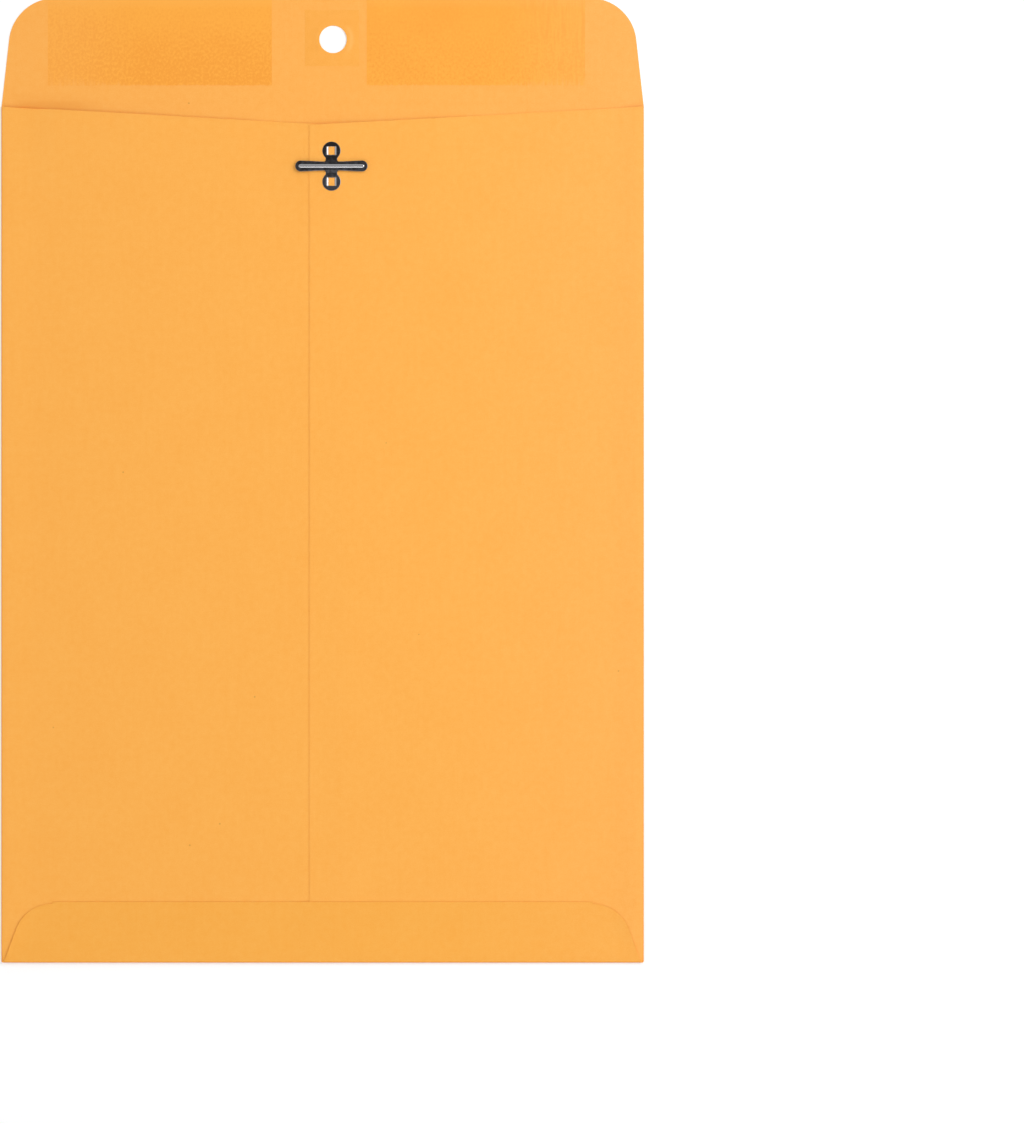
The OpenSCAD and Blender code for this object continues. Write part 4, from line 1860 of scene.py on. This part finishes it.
    def prong(self, side: float, body: Body) -> Piece:
        """Make one prong.

        Args:
            side: 1 for the right prong and -1 for the left one.
            body: Body whose node the prong stands in for.

        Returns:
            The prong.
        """
        edge = self._prong_edge()
        outline = edge if side > 0 else mirrored(edge)
        bend = steps(self.split_x, self.split_x + 2 * self.bend_run, self.bend_grid)
        columns = bend + steps(bend[-1], self.tip_x + self.tip_w / 2, self.grid)[1:]
        rib_end = [
            (side * x, y) for share in self.rib_end_shares
            for x, y in arc((self.rib_tip_x, 0.0), share * self.rib_w / 2, -90.0, 90.0, spacing=15.0)
        ]
        extra = self._edge_rings([outline]) + rib_end
        plan = Plan([outline], [side * x for x in columns], self._rows(self.tip_w / 2), extra)
        name = "right_clasp_prong" if side > 0 else "left_clasp_prong"
        mesh = SheetMesh().add(plan, lambda x, y: self.skins(x, y, False))
        start, end = (
            Vector((self.centre[0] + side * x, self.centre[1], 0.0)) for x in (bend[0], bend[-1])
        )
        return self._piece(mesh, name, body.value).settle_across(body, start, end)

    @staticmethod
    def _piece(mesh: SheetMesh, name: str, node: str) -> Piece:
        """Dress a part of the clasp in tinplate, with its sheared edges bare."""
        obj = mesh.to_object(name, Tinplate().material(), ShearedTin().material(), sharp=50.0)
        return Piece(obj, Slot.TINPLATE, (node,))

    def build(self) -> list[Piece]:
        """Make the plate and both prongs."""
        return [self.plate(), self.prong(-1.0, Body.LEFT_PRONG), self.prong(1.0, Body.RIGHT_PRONG)]


@dataclass(frozen=True)
class FloorPaint(Finish):
    """Plain white floor."""

    name: str = "studio_floor"
    paint: Colour = (1.0, 1.0, 1.0)
    glow: Colour = (0.07, 0.07, 0.07)

    def shade(self, shader: Shader) -> None:
        """Fill the material's node tree; the glow only shows, and lights nothing.

        Args:
            shader: Tree of the material.
        """
        rays = ("Is Camera Ray", "Is Glossy Ray", "Is Transmission Ray")
        seen = [shader.node("ShaderNodeLightPath", {}, {}, ray) for ray in rays]
        shader.surface({
            "Base Color": (*self.paint, 1.0),
            "Roughness": 1.0,
            "Specular IOR Level": 0.0,
            "Emission Color": shader.mix(seen[0] + seen[1] + seen[2], (0.0, 0.0, 0.0), self.glow),
            "Emission Strength": 1.0,
        })


@dataclass
class Studio:
    """Floor, soft light and the camera that looks straight down at the photographed place."""

    pocket: PocketFrame
    image_w: float = 1024.0
    image_h: float = 1124.0
    pixels_per_metre: float = 2808.4
    left_edge_px: float = 1.7
    bottom_edge_px: float = 962.3
    lens: float = 100.0
    sensor: float = 36.0
    floor_size: float = 8.0
    floor_drop: float = 0.02 * MM
    horizon: float = 0.42
    zenith: float = 0.43
    key_watts: float = 5.82
    key_size: float = 0.7
    key_at: tuple[float, float, float] = (0.75, 0.28, 0.75)
    fill_watts: float = 0.6
    fill_size: float = 0.36
    fill_at: tuple[float, float, float] = (-1.05, -0.35, 1.0)
    strip_watts: float = 7.0
    strip_size: tuple[float, float] = (0.7, 1.6)
    strip_at: tuple[float, float, float] = (0.0, -2.05, 2.05)

    def build(self) -> None:
        """Set the whole stage."""
        self.floor()
        self.sky()
        self.lamp("key_light", self.key_at, self.key_watts, (self.key_size, self.key_size))
        self.lamp("fill_light", self.fill_at, self.fill_watts, (self.fill_size, self.fill_size))
        self.lamp("strip_light", self.strip_at, self.strip_watts, self.strip_size)
        self.camera()
        bpy.context.scene.view_settings.view_transform = "Standard"

    def floor(self) -> None:
        """Lay the floor just under the envelope."""
        half = self.floor_size / 2
        mesh = bpy.data.meshes.new("floor")
        corners = rectangle(-half, -half, half, half)
        mesh.from_pydata([(x, y, -self.floor_drop) for x, y in corners], [], [(0, 1, 2, 3)])
        mesh.materials.append(FloorPaint().material())
        floor = bpy.data.objects.new("floor", mesh)
        bpy.context.scene.collection.objects.link(floor)

    def sky(self) -> None:
        """Light from all round, bright at the horizon and dim overhead."""
        world = bpy.data.worlds.new("studio_sky")
        bpy.context.scene.world = world
        shader = Shader(world)
        direction = shader.node("ShaderNodeTexCoord", {}, {}, "Generated")
        height = shader.axis(direction, "Z")
        level = (1.0 - height * height) * self.horizon + self.zenith
        glow = shader.node("ShaderNodeBackground", {}, {"Color": (1.0, 1.0, 1.0, 1.0), "Strength": level})
        shader.node("ShaderNodeOutputWorld", {}, {"Surface": glow})

    def lamp(self, name: str, at: Sequence[float], watts: float, size: Sequence[float]) -> None:
        """Hang a soft box that faces the middle of the floor.

        Args:
            name: Name of the lamp.
            at: Its place.
            watts: Its power.
            size: Its width and height.
        """
        light = bpy.data.lights.new(name, "AREA")
        light.shape = "RECTANGLE"
        light.size, light.size_y = size
        light.energy = watts
        lamp = bpy.data.objects.new(name, light)
        lamp.location = at
        lamp.rotation_mode = "QUATERNION"
        lamp.rotation_quaternion = (-Vector(at)).to_track_quat("-Z", "Y")
        bpy.context.scene.collection.objects.link(lamp)

    def camera(self) -> None:
        """Look straight down, with the envelope at its place in the image."""
        data = bpy.data.cameras.new("camera")
        data.lens, data.sensor_width = self.lens, self.sensor
        camera = bpy.data.objects.new("camera", data)
        across = self.pocket.left + (self.image_w / 2 - self.left_edge_px) / self.pixels_per_metre
        along = self.pocket.bottom + (self.bottom_edge_px - self.image_h / 2) / self.pixels_per_metre
        distance = self.image_h / self.pixels_per_metre * self.lens / self.sensor
        camera.location = (across, along, distance)
        bpy.context.scene.collection.objects.link(camera)
        bpy.context.scene.camera = camera


def main() -> None:
    """Build the envelope and its stage."""
    logging.basicConfig(level=logging.INFO, format="%(name)s: %(message)s")
    pocket = PocketFrame.read()
    Studio(pocket).build()
    clasp = Clasp()
    blank = PaperBlank(pocket, Relief(pocket), slits=clasp.slits())
    pieces = blank.build() + GlueLines(blank).build() + FlapGum().build() + HolePatch(pocket).build()
    pieces += clasp.build()
    log.info("%d pieces in all", len(pieces))


if __name__ == "__main__":
    main()
